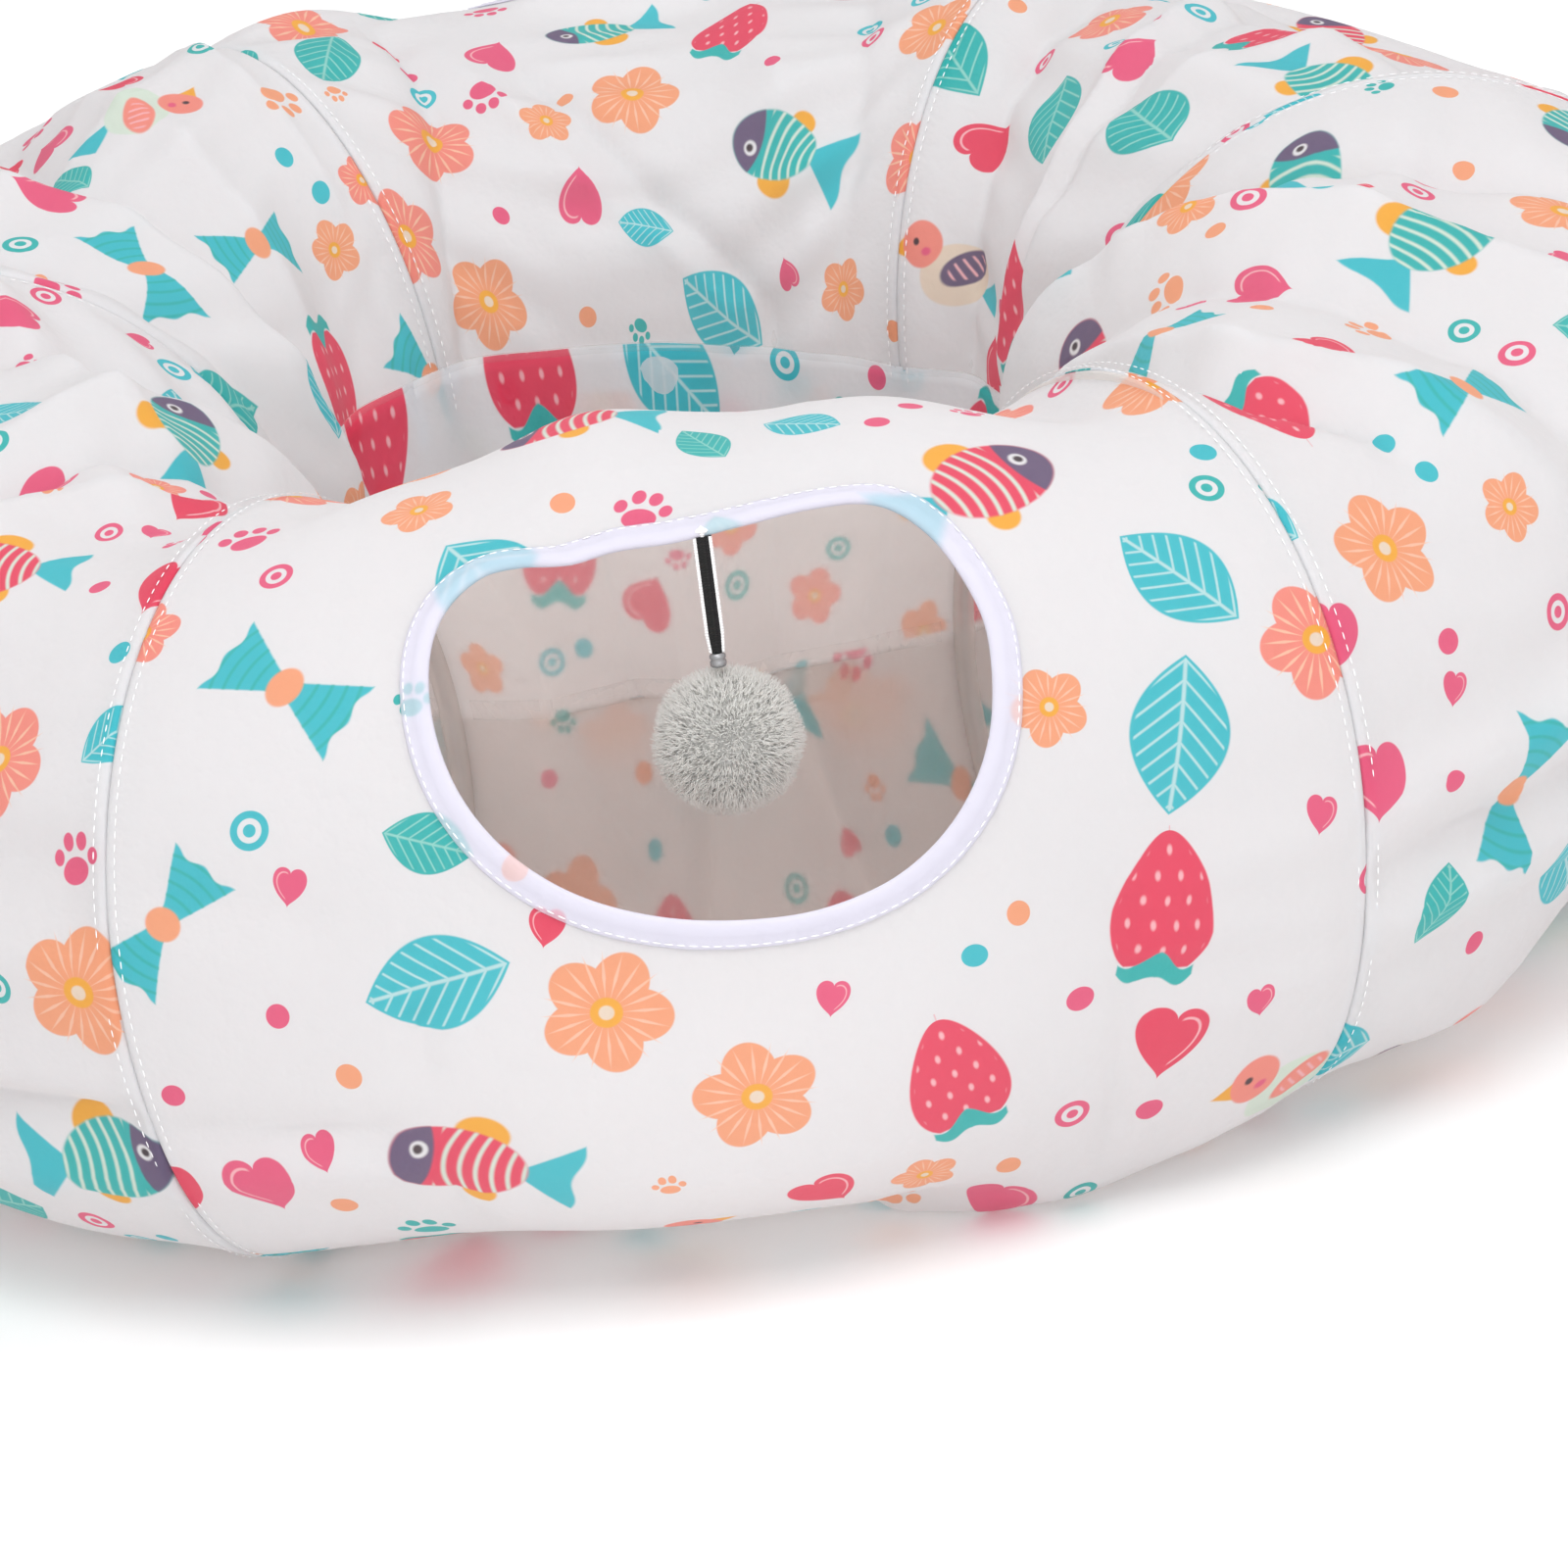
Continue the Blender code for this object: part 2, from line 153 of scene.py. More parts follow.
def closed_spline(P, n):
    """n points evenly along a smooth closed curve through P."""
    m = len(P)
    t = np.arange(n) * m / n
    i = np.floor(t).astype(int)
    f = (t - i)[:, None]
    p0, p1, p2, p3 = P[(i - 1) % m], P[i % m], P[(i + 1) % m], P[(i + 2) % m]
    return 0.5 * (2 * p1 + (p2 - p0) * f + (2 * p0 - 5 * p1 + 4 * p2 - p3) * f**2 + (3 * p1 - p0 - 3 * p2 + p3) * f**3)


# the front opening's edge as the cloth pulls it, in mm across and up: a flat top, a square upper left corner, a drawn-in lower left
FRONT_RIM = np.array([(84, 4), (82.5, 23), (74.5, 46), (60.5, 61.5), (38.5, 66), (14, 65.5), (-8, 64), (-28, 64.5), (-44, 62), (-60, 64.5), (-74, 63), (-86, 51.5), (-91, 33), (-89, 8), (-81, -16), (-67, -36.5), (-48, -52), (-24, -62.5), (2, -67.5), (24, -67.5), (46, -61), (65, -46), (78, -24)]) / 1000.0


def rim_shape(ph, which):
    """The opening's edge on the flat cloth: (across, up) in metres from its middle."""
    c, s = np.cos(ph), np.sin(ph)
    if which == "front":
        mid = np.array([-0.0035, 0.0010])
        edge = closed_spline(FRONT_RIM, 460) - mid
        turn = np.arctan2(edge[:, 1], edge[:, 0])
        order = np.argsort(turn)
        turn, far = turn[order], np.hypot(edge[:, 0], edge[:, 1])[order]
        a = np.arctan2(0.0660 * s, 0.0870 * c)
        r = np.interp(a, np.concatenate([turn - 2 * math.pi, turn, turn + 2 * math.pi]), np.tile(far, 3))
        return mid[0] + r * np.cos(a), mid[1] + r * np.sin(a)
    n = np.where(s > 0, 2.6, 2.12)
    return 0.0862 * np.sign(c) * np.abs(c) ** (2 / n), 0.0640 * np.sign(s) * np.abs(s) ** (2 / n)


def seam_rise(az):
    """How far the seam on the ring's inner side lies above the tube's middle, as an angle: the mat pulls it up at the rear."""
    return np.interp(np.mod(az, 360), [0, 112, 140, 160, 180, 212, 235, 290, 360], [0, 0, 0.03, 0.10, 0.165, 0.20, 0.17, 0, 0])


def panel_grid(k, k_out, k_in, opening):
    A, B = hoops[k], hoops[(k + 1) % 6]
    th = np.arange(ROWS) * 2 * math.pi / ROWS
    ss = np.linspace(0, 1, 33)
    line = np.array([loft(A, B, th, np.full(ROWS, s)) for s in ss])
    length = np.linalg.norm(np.diff(line, axis=0), axis=-1).sum(0)

    def length_at(t):
        return np.interp(np.mod(t, 2 * math.pi), np.append(th, 2 * math.pi), np.append(length, length[0]))

    Lo, Li = k_out * length[0], k_in * length[ROWS // 2]
    beta = (Lo - Li) / (2 * TUBE_R)
    Rr = (Lo + Li) / 2 / beta

    def rest_point(s, t):
        rho = Rr + TUBE_R * np.cos(t)
        b = (s - 0.5) * beta
        return np.stack([rho * np.sin(b), -rho * np.cos(b), MID_Z + TUBE_R * np.sin(t)], -1)

    cols = [("A", d) for d in range(3)]
    inner = COLS - 4
    cols += [("F", i / inner) for i in range(1, inner)]
    cols += [("B", d) for d in (2, 1, 0)]
    nc = len(cols)
    P, S, TH = np.zeros((nc, ROWS, 3)), np.zeros((nc, ROWS)), np.zeros((nc, ROWS))
    az0, az1 = HOOPS[k][0], HOOPS[(k + 1) % 6][0]
    az1 += 360 if az1 < az0 else 0
    near_seam = np.exp(-(((th - math.pi) / 0.85) ** 2))
    for i, (kind, v) in enumerate(cols):
        share_i = v if kind == "F" else (0.0 if kind == "A" else 1.0)
        t_i = th - seam_rise(az0 + (az1 - az0) * share_i) * near_seam
        TH[i] = t_i
        if kind == "F":
            e = END_D[2] / length_at(t_i)
            S[i] = e + (1 - 2 * e) * v
            P[i] = loft(A, B, t_i, S[i])
        else:
            H, sign = (A, 1) if kind == "A" else (B, -1)
            P[i] = H.at(t_i, np.full(ROWS, TUBE_R + END_LIFT[v]), np.full(ROWS, sign * END_D[v]))
            S[i] = END_D[v] / length_at(t_i) if kind == "A" else 1 - END_D[v] / length_at(t_i)
    hole = np.zeros((nc, ROWS), bool)
    cell = np.ones((nc - 1, ROWS), bool)
    mid = (nc - 1) // 2
    ci0, ci1, rj0, rj1 = mid - 12, mid + 12, 0, 20
    if opening:
        hole[ci0 + 1:ci1, rj0 + 1:rj1] = True
        cell[ci0:ci1, rj0:rj1] = False
    idx = -np.ones((nc, ROWS), int)
    keep = ~hole
    idx[keep] = np.arange(keep.sum())
    verts, share, ang = list(P[keep]), list(S[keep]), list(TH[keep])
    faces = []
    for i in range(nc - 1):
        for j in range(ROWS):
            if cell[i, j]:
                j2 = (j + 1) % ROWS
                faces.append((idx[i, j], idx[i + 1, j], idx[i + 1, j2], idx[i, j2]))
    rings = []
    if opening:
        loop = [(i, rj0) for i in range(ci0, ci1)] + [(ci1, j) for j in range(rj0, rj1)] + [(i, rj1) for i in range(ci1, ci0, -1)] + [(ci0, j) for j in range(rj1, rj0, -1)]
        t0 = OPEN_TILT * D2R
        L0 = length_at(t0)
        sx = np.array([(S[i, j] - 0.5) * L0 for i, j in loop])
        sy = np.array([(TH[i, j] - t0) * TUBE_R for i, j in loop])
        ph = np.arctan2(sy / 0.081, sx / 0.110)
        ex, ey = rim_shape(ph, opening)
        dist = np.hypot(sx - ex, sy - ey)
        ux, uy = (sx - ex) / dist, (sy - ey) / dist
        prev = [int(idx[i, j]) for i, j in loop]
        for q in ((dist + 0.009) / 2, 0.009, 0.0045, 0.0):
            x, y = ex + ux * q, ey + uy * q
            t = t0 + y / TUBE_R
            s = 0.5 + x / L0
            pts = loft(A, B, t, s)
            cur = list(range(len(verts), len(verts) + len(loop)))
            verts += list(pts)
            share += list(s)
            ang += list(t)
            n = len(loop)
            for m in range(n):
                m2 = (m + 1) % n
                faces.append((prev[m], prev[m2], cur[m2], cur[m]))
            prev = cur
            rings.append(np.array(cur))
    verts, share, ang = np.array(verts), np.array(share), np.array(ang)
    return dict(verts=verts, rest=rest_point(share, ang), share=share, ang=ang, faces=faces, idx=idx, rings=rings, beta=beta, Rr=Rr, length=length, length_at=length_at,
                rest_point=rest_point, A=A, B=B, nc=nc, k=k, opening=opening, k_out=k_out, k_in=k_in)


def outward(g, share, ang):
    """The smooth tube's outward direction there."""
    A, B = g["A"], g["B"]
    e = 1e-3
    s = np.clip(share, e, 1 - e)
    p = loft(A, B, ang, s)
    a = loft(A, B, ang, s + e) - loft(A, B, ang, s - e)
    b = loft(A, B, ang + e, s) - loft(A, B, ang - e, s)
    n = unit(np.cross(a, b))
    out = p - (loft(A, B, ang, s, r=0.02))
    return n * np.sign((n * out).sum(-1))[:, None]


# per panel: seed, slack outside, slack inside, waves to start with, how far the cloth stands up by itself
CUT = {
    "front": (5, 1.015, 1.50, 1.0, 22.0),
    "front_right": (21, 1.03, 1.45, 1.0, 9.0),
    "rear_right": (33, 1.03, 1.45, 1.0, 7.0),
    "rear": (47, 1.03, 1.45, 1.0, 7.0),
    "rear_left": (59, 1.03, 1.45, 1.0, 7.0),
    "front_left": (68, 1.03, 1.45, 1.0, 9.0),
}
# gathers: the line each follows, as (angle round the tube, share across), its height in mm (below 0 for a valley) and its half width in mm on either side
GATHERS = {
    "front": [([(95, 0.90), (125, 0.88), (165, 0.80)], -6, 16, 12), ([(95, 0.10), (130, 0.12), (170, 0.20)], -5, 12, 16), ([(125, 0.5), (172, 0.46)], -5, 12, 12), ([(122, 0.34), (172, 0.36)], 5, 12, 12), ([(122, 0.66), (172, 0.64)], 5, 12, 12)],
    "front_right": [
        ([(35, 0.49), (63, 0.53), (80, 0.56), (95, 0.58), (110, 0.59), (127, 0.65), (145, 0.71), (168, 0.78)], 12, 28, 12),
        ([(60, 0.76), (82, 0.78), (97, 0.79), (112, 0.81), (131, 0.86), (170, 0.94)], -10, 9, 10),
        ([(45, 0.35), (60, 0.37), (84, 0.39), (104, 0.38), (130, 0.45), (168, 0.54)], -8, 18, 10),
        ([(40, 0.28), (57, 0.24), (72, 0.22), (90, 0.18), (110, 0.20), (140, 0.30), (168, 0.38)], 8, 12, 18),
        ([(60, 0.16), (75, 0.11), (100, 0.10), (135, 0.14), (170, 0.20)], -8, 8, 9),
    ],
    "rear_right": [
        ([(60, 0.10), (95, 0.12), (130, 0.14), (170, 0.18)], -9, 9, 16),
        ([(70, 0.34), (100, 0.34), (135, 0.38), (170, 0.40)], 5, 20, 14),
        ([(70, 0.68), (94, 0.63), (125, 0.53), (151, 0.48), (170, 0.51)], 7, 16, 7),
        ([(70, 0.61), (94, 0.56), (125, 0.46), (151, 0.41), (170, 0.44)], -4, 9, 5),
        ([(85, 0.88), (105, 0.87), (125, 0.86), (140, 0.84), (158, 0.82), (176, 0.82)], -13, 20, 10),
    ],
    "rear": [
        ([(104, 0.66), (126, 0.59), (143, 0.50), (157, 0.37), (166, 0.29), (172, 0.28)], -7, 8, 17),
        ([(104, 0.74), (126, 0.68), (143, 0.60), (157, 0.46), (168, 0.36)], 5, 12, 9),
        ([(80, 0.80), (104, 0.80), (116, 0.81), (135, 0.85), (152, 0.89), (170, 0.92)], -8, 14, 6),
        ([(84, 0.20), (110, 0.16), (140, 0.12), (170, 0.14)], -5, 8, 18),
        ([(80, 0.36), (104, 0.33), (130, 0.26), (160, 0.18)], 4, 16, 14),
    ],
    "rear_left": [
        ([(62, 0.68), (80, 0.69), (94, 0.69), (105, 0.68), (114, 0.67), (131, 0.72), (146, 0.77), (159, 0.78), (172, 0.76)], 12, 9, 30),
        ([(60, 0.28), (82, 0.38), (96, 0.47), (110, 0.52), (128, 0.57), (146, 0.62), (172, 0.60)], -13, 26, 8),
        ([(60, 0.91), (90, 0.91), (110, 0.91), (130, 0.92), (150, 0.93), (172, 0.93)], -8, 9, 8),
        ([(70, 0.20), (100, 0.26), (130, 0.32), (160, 0.36)], 5, 18, 12),
        ([(84, 0.06), (110, 0.08), (140, 0.10), (172, 0.10)], 5, 8, 14),
    ],
    "front_left": [
        ([(60, 0.24), (90, 0.23), (110, 0.24), (130, 0.26), (170, 0.30)], -9, 14, 12),
        ([(50, 0.60), (70, 0.56), (90, 0.53), (101, 0.51), (117, 0.46), (137, 0.44), (155, 0.48), (172, 0.50)], 7, 10, 22),
        ([(60, 0.66), (90, 0.62), (110, 0.62), (130, 0.66), (170, 0.70)], -9, 12, 9),
        ([(60, 0.72), (80, 0.70), (91, 0.70), (102, 0.77), (114, 0.84), (140, 0.84), (168, 0.84)], 7, 8, 12),
    ],
}
# broad swells and hollows: share across, angle, half widths in mm and degrees, height in mm
SWELLS = {
    "front": [(0.40, 112, 34, 26, 15), (0.70, 112, 40, 24, 9), (0.53, 114, 20, 20, 2), (0.94, 102, 40, 26, -13), (0.06, 104, 26, 24, -3), (0.44, -36, 90, 26, 3), (0.20, -58, 52, 20, -5.0), (0.76, -63, 34, 16, 15), (0.90, -50, 34, 18, 7)],
    "front_right": [(0.10, 116, 36, 34, -13), (0.62, 160, 60, 34, 15), (0.50, 70, 70, 30, -3), (0.36, -48, 60, 28, -16)],
    "rear_right": [(0.20, 160, 40, 34, 10), (0.50, 80, 70, 24, -2)],
    "rear": [(0.40, 84, 70, 24, -5), (0.86, 70, 46, 28, 7)],
    "rear_left": [(0.16, 154, 26, 20, -10), (0.80, 160, 40, 34, 10), (0.26, 68, 76, 30, 11)],
    "front_left": [(0.88, 116, 36, 34, -12), (0.36, 160, 60, 34, 15), (0.50, 70, 70, 30, -2), (0.70, -56, 60, 22, -6)],
}
# as SWELLS, but they take the opening's edge with them
LIFTS = {"front": [(0.56, 74, 78, 30, 5.5)]}
# long folds: from (share, angle) to (share, angle), half width and height in mm, below 0 for a valley
FOLDS = {
    "front": [
        (0.60, -70, 0.73, -67, 12, 17), (0.76, -8, 1.00, -12, 8, 3.2), (0.80, -2, 1.00, 4, 12, 3.5), (0.82, -22, 1.0, -19, 10, 3), (0.22, -17, 0.00, -17, 6, -4), (0.24, -24, 0.0, -27, 10, 3.5),
        (0.235, 6, 0.25, -9, 4.5, -2.2), (0.20, 17, 0.0, 21, 12, -2.5), (0.22, -20, 0.25, -46, 6, -2.6), (0.78, 4, 0.78, -50, 6, -3.0), (0.34, -30, 0.62, -34, 9, 2.2),
        (0.66, -168, 0.74, -134, 16, -6), (0.47, -166, 0.45, -134, 12, -5), (0.60, -178, 0.80, -166, 14, 5), (0.20, -176, 0.34, -146, 16, 5),
    ],
    "front_right": [(0.00, 4, 0.30, 8, 10, 6), (0.20, 6, 0.60, 26, 11, 6), (0.00, -6, 0.40, -2, 8, -5), (0.00, -15, 0.45, -8, 10, 6), (0.02, -24, 0.45, -20, 9, -4), (0.10, -48, 0.60, -30, 12, 5), (0.55, 52, 0.90, 30, 10, -4)],
    "rear_right": [(0.10, 40, 0.5, 58, 12, -5), (0.5, 20, 0.9, 48, 12, -4), (0.2, -30, 0.7, -14, 12, 4)],
    "rear": [(0.06, 84, 0.30, 62, 10, -4), (0.94, 86, 0.72, 60, 10, -5)],
    "rear_left": [(0.1, 58, 0.5, 40, 12, -5), (0.5, 48, 0.9, 20, 12, -4), (0.3, -10, 0.8, -30, 12, 4)],
    "front_left": [(0.02, 103, 0.36, 115, 12, 7), (0.30, 113, 0.66, 127, 11, 8), (0.60, -12, 1.0, -15, 7, -7), (0.50, -24, 1.0, -27, 10, 6), (0.60, 36, 1.00, 24, 12, -4), (0.60, 18, 1.00, 8, 12, 4.5), (0.10, 34, 0.55, 48, 11, -5)],
}
FRAMES = 40


def smooth_step(x):
    x = np.clip(x, 0, 1)
    return x * x * (3 - 2 * x)


def relief(g, share, ang):
    """How far the gathers, swells and folds stand off the draped cloth, in metres."""
    name = PANELS[g["k"]]
    a = np.where(ang > math.pi, ang - 2 * math.pi, ang)
    L, L0 = g["length_at"](ang), float(g["length"][0])
    edge = np.clip(np.minimum(share, 1 - share) * L / 0.016, 0, 1)
    d = np.zeros(len(share))
    deg = np.mod(ang, 2 * math.pi) / D2R
    for line, h, w0, w1 in GATHERS[name]:
        t, s = zip(*line)
        off = (share - np.interp(deg, t, s)) * L * 1000
        w = np.where(off < 0, w0, w1)
        ends = smooth_step((deg - t[0] + 16) / 24) * smooth_step((t[-1] + 34 - deg) / 36)
        d += h * 0.0012 * ends * np.exp(0.12 - np.sqrt((off / w) ** 2 + 0.0144)) * edge ** 0.6
    for s0, t0, w, wt, h in SWELLS[name]:
        far = np.abs(np.mod(deg - t0 + 180, 360) - 180)
        d += h * 0.001 * np.exp(-((share - s0) * L * 1000 / w) ** 2 - (far / wt) ** 2) * edge ** 0.6
    px, py = share * L0, a * TUBE_R
    for s0, t0, s1, t1, w, h in FOLDS[name]:
        ax, ay, bx, by = s0 * L0, t0 * D2R * TUBE_R, s1 * L0, t1 * D2R * TUBE_R
        ll = math.hypot(bx - ax, by - ay)
        t = ((px - ax) * (bx - ax) + (py - ay) * (by - ay)) / ll**2
        off = ((px - ax) * (by - ay) - (py - ay) * (bx - ax)) / ll + 0.003 * np.sin(t * 3.0 + s0 * 9)
        ends = smooth_step((t + 0.12) / 0.3) * smooth_step((1.12 - t) / 0.3)
        shape = np.exp(0.3 - np.sqrt((off / (w * 0.001)) ** 2 + 0.09) * 1.15) - 0.30 * np.exp(-(((off + 1.7 * w * 0.001) / (1.2 * w * 0.001)) ** 2))
        d += h * 0.001 * ends * shape * edge ** 0.5
    if g["opening"]:
        x, y = (share - 0.5) * L0, (a - OPEN_TILT * D2R) * TUBE_R
        d = d * smooth_step((np.hypot((x + 0.003) / 0.098, y / 0.077) - 1.0) / 0.28)
    for s0, t0, w, wt, h in LIFTS.get(name, ()):
        far = np.abs(np.mod(deg - t0 + 180, 360) - 180)
        d += h * 0.001 * np.exp(-((share - s0) * L * 1000 / w) ** 2 - (far / wt) ** 2) * edge ** 0.6
    return d


def above_floor(p):
    """Points near the floor settle onto it."""
    z = p[:, 2]
    low = 0.0010
    p[:, 2] = np.where(z < low + 0.004, low + 0.004 * np.exp((np.minimum(z, low + 0.004) - low - 0.004) / 0.004), z)
    return p


def make_cloth(k):
    name = PANELS[k]
    seed, k_out, k_in, wave, stand = CUT[name]
    g = panel_grid(k, k_out, k_in, name if name in ("front", "rear") else None)
    rng = np.random.default_rng(seed)
    share, ang = g["share"], g["ang"]
    edge = np.clip(np.minimum(share, 1 - share) / 0.12, 0, 1)
    inner = (1 - np.cos(ang)) / 2
    d = np.zeros(len(share))
    for _ in range(7):
        kx, kt = rng.uniform(0.7, 3.4), int(rng.integers(-3, 4))
        d += np.cos(2 * math.pi * (kx * share + rng.uniform()) + kt * ang) * rng.uniform(0.4, 1)
    d *= (0.0008 + 0.0030 * inner) * wave * edge / 2
    g["start"] = g["verts"] + outward(g, share, ang) * d[:, None]
    ob = mesh_object("cloth_" + name, g["start"], g["faces"])
    ob.shape_key_add(name="Basis")
    kb = ob.shape_key_add(name="Rest")
    kb.data.foreach_set("co", g["rest"].astype(np.float32).ravel())
    grp = ob.vertex_groups.new(name="pin")
    nc, idx = g["nc"], g["idx"]
    ends = [int(idx[i, j]) for i in (0, 1, 2, nc - 3, nc - 2, nc - 1) for j in range(ROWS)]
    grp.add(ends, 1.0, "REPLACE")
    grp.add([int(idx[i, ROWS // 2]) for i in range(3, nc - 3)], 0.25, "REPLACE")
    for r, weight in zip(g["rings"][-2:], (0.25, 0.4)):
        grp.add([int(i) for i in r], weight, "REPLACE")
    md = ob.modifiers.new("cloth", "CLOTH")
    s = md.settings
    s.quality = 7
    s.mass = 0.12
    s.tension_stiffness, s.compression_stiffness, s.shear_stiffness = 25, 18, 4
    s.bending_stiffness = 0.35
    s.tension_damping = s.compression_damping = 5
    s.shear_damping, s.bending_damping, s.air_damping = 3, 0.5, 3
    s.vertex_group_mass = "pin"
    s.pin_stiffness = 2.0
    s.rest_shape_key = kb
    s.effector_weights.gravity = 0.5
    s.use_pressure = True
    s.uniform_pressure_force = stand
    md.collision_settings.use_collision = False
    md.point_cache.frame_start, md.point_cache.frame_end = 1, FRAMES
    return g, ob


# ---------------------------------------------------------------- materials
class Val:
    """A number in a node tree, with arithmetic."""

    def __init__(self, tree, socket):
        self.t, self.s = tree, socket

    def op(self, kind, *others):
        n = self.t.nt.nodes.new("ShaderNodeMath")
        n.operation = kind
        for i, v in enumerate((self,) + others):
            self.t.plug(v, n.inputs[i])
        return Val(self.t, n.outputs[0])

    def __add__(self, o): return self.op("ADD", o)
    __radd__ = __add__
    def __sub__(self, o): return self.op("SUBTRACT", o)
    def __rsub__(self, o): return self.t.const(o).op("SUBTRACT", self)
    def __mul__(self, o): return self.op("MULTIPLY", o)
    __rmul__ = __mul__
    def __truediv__(self, o): return self.op("DIVIDE", o)
    def __pow__(self, o): return self.op("POWER", o)
    def abs(self): return self.op("ABSOLUTE")
    def sqrt(self): return self.op("SQRT")
    def sin(self): return self.op("SINE")
    def cos(self): return self.op("COSINE")
    def frac(self): return self.op("FRACT")
    def min(self, o): return self.op("MINIMUM", o)
    def max(self, o): return self.op("MAXIMUM", o)
    def over(self, o): return self.op("GREATER_THAN", o)


class Tree:
    def __init__(self, name):
        self.mat = bpy.data.materials.new(name)
        self.mat.use_nodes = True
        self.nt = self.mat.node_tree
        self.nt.nodes.clear()
        self.out = self.nt.nodes.new("ShaderNodeOutputMaterial")

    def plug(self, v, socket):
        if isinstance(v, Val):
            self.nt.links.new(v.s, socket)
        elif isinstance(v, bpy.types.NodeSocket):
            self.nt.links.new(v, socket)
        else:
            socket.default_value = v if not isinstance(v, (tuple, list)) or len(v) != 3 or len(socket.default_value) != 4 else (*v, 1)

    def const(self, v):
        n = self.nt.nodes.new("ShaderNodeValue")
        n.outputs[0].default_value = v
        return Val(self, n.outputs[0])

    def uv(self, name):
        u = self.nt.nodes.new("ShaderNodeUVMap")
        u.uv_map = name
        s = self.nt.nodes.new("ShaderNodeSeparateXYZ")
        self.nt.links.new(u.outputs[0], s.inputs[0])
        return Val(self, s.outputs[0]), Val(self, s.outputs[1])

    def cover(self, f, w):
        """1 where f is below 0, over an edge of half-width w."""
        n = self.nt.nodes.new("ShaderNodeMapRange")
        n.interpolation_type = "SMOOTHSTEP"
        self.plug(f, n.inputs["Value"])
        n.inputs["From Min"].default_value, n.inputs["From Max"].default_value = -w, w
        n.inputs["To Min"].default_value, n.inputs["To Max"].default_value = 1, 0
        return Val(self, n.outputs["Result"])

    def mix(self, a, b, f):
        n = self.nt.nodes.new("ShaderNodeMix")
        n.data_type = "RGBA"
        self.plug(f, n.inputs[0])
        self.plug(a, n.inputs[6])
        self.plug(b, n.inputs[7])
        return n.outputs[2]

    def noise(self, scale, detail=3.0, rough=0.5, coord=None):
        n = self.nt.nodes.new("ShaderNodeTexNoise")
        n.inputs["Scale"].default_value, n.inputs["Detail"].default_value, n.inputs["Roughness"].default_value = scale, detail, rough
        self.nt.links.new(coord or self.obj(), n.inputs["Vector"])
        return Val(self, n.outputs["Fac"])

    def obj(self):
        if not hasattr(self, "_obj"):
            self._obj = self.nt.nodes.new("ShaderNodeTexCoord").outputs["Object"]
        return self._obj

    def bump(self, height, strength, distance):
        n = self.nt.nodes.new("ShaderNodeBump")
        n.inputs["Strength"].default_value, n.inputs["Distance"].default_value = strength, distance
        self.plug(height, n.inputs["Height"])
        return n.outputs[0]


def srgb(r, g, b):
    def f(c):
        c /= 255
        return c / 12.92 if c <= 0.04045 else ((c + 0.055) / 1.055) ** 2.4
    return (f(r), f(g), f(b), 1)


C = dict(
    white=srgb(239, 242, 246), teal=srgb(20, 190, 188), aqua=srgb(46, 200, 214), pink=srgb(238, 92, 136), red=srgb(238, 66, 102), blush=srgb(255, 196, 204),
    peach=srgb(250, 172, 130), salmon=srgb(250, 150, 136), yellow=srgb(250, 182, 52), plum=srgb(106, 92, 128), mint=srgb(222, 240, 228), cream=srgb(240, 226, 208), ink=srgb(52, 40, 52),
)
INSIDE = srgb(250, 243, 238)


def cloth_shader(T, colour, thin=0.54, rough=0.78, crumple=0.30, through=None, sheer=0.0):
    """Thin cloth: part of the light goes through it, in the colour 'through'."""
    nt = T.nt
    p = nt.nodes.new("ShaderNodeBsdfPrincipled")
    t = nt.nodes.new("ShaderNodeBsdfTranslucent")
    m = nt.nodes.new("ShaderNodeMixShader")
    T.plug(colour, p.inputs["Base Color"])
    T.plug(colour if through is None else through, t.inputs["Color"])
    p.inputs["Roughness"].default_value = rough
    p.inputs["Specular IOR Level"].default_value = 0.22
    p.inputs["Sheen Weight"].default_value = 0.10
    p.inputs["Sheen Roughness"].default_value = 0.5
    h = T.noise(34, 4.0, 0.55) + T.noise(240, 2.0, 0.5) * 0.14
    nrm = T.bump(h, crumple, 0.004)
    nt.links.new(nrm, p.inputs["Normal"])
    nt.links.new(nrm, t.inputs["Normal"])
    m.inputs[0].default_value = thin
    nt.links.new(p.outputs[0], m.inputs[1])
    nt.links.new(t.outputs[0], m.inputs[2])
    if sheer:
        clear = nt.nodes.new("ShaderNodeBsdfTransparent")
        both = nt.nodes.new("ShaderNodeMixShader")
        both.inputs[0].default_value = sheer
        nt.links.new(m.outputs[0], both.inputs[1])
        nt.links.new(clear.outputs[0], both.inputs[2])
        m = both
    nt.links.new(m.outputs[0], T.out.inputs[0])


# Each motif fills x, y from -1 to 1. v and u are its own numbers from 0 to 1, w the width of its edges.
def ring_r(x, y):
    return (x * x + y * y).sqrt()


def ellipse(x, y, cx, cy, rx, ry):
    a, b = (x - cx) / rx, (y - cy) / ry
    return ((a * a + b * b).sqrt() - 1) * min(rx, ry)


def line_mask(T, v, period, width, w):
    """Thin lines where v is a whole number of periods."""
    f = ((v / period).frac() - 0.5).abs()
    return T.cover((0.5 - f) * period - width, w)


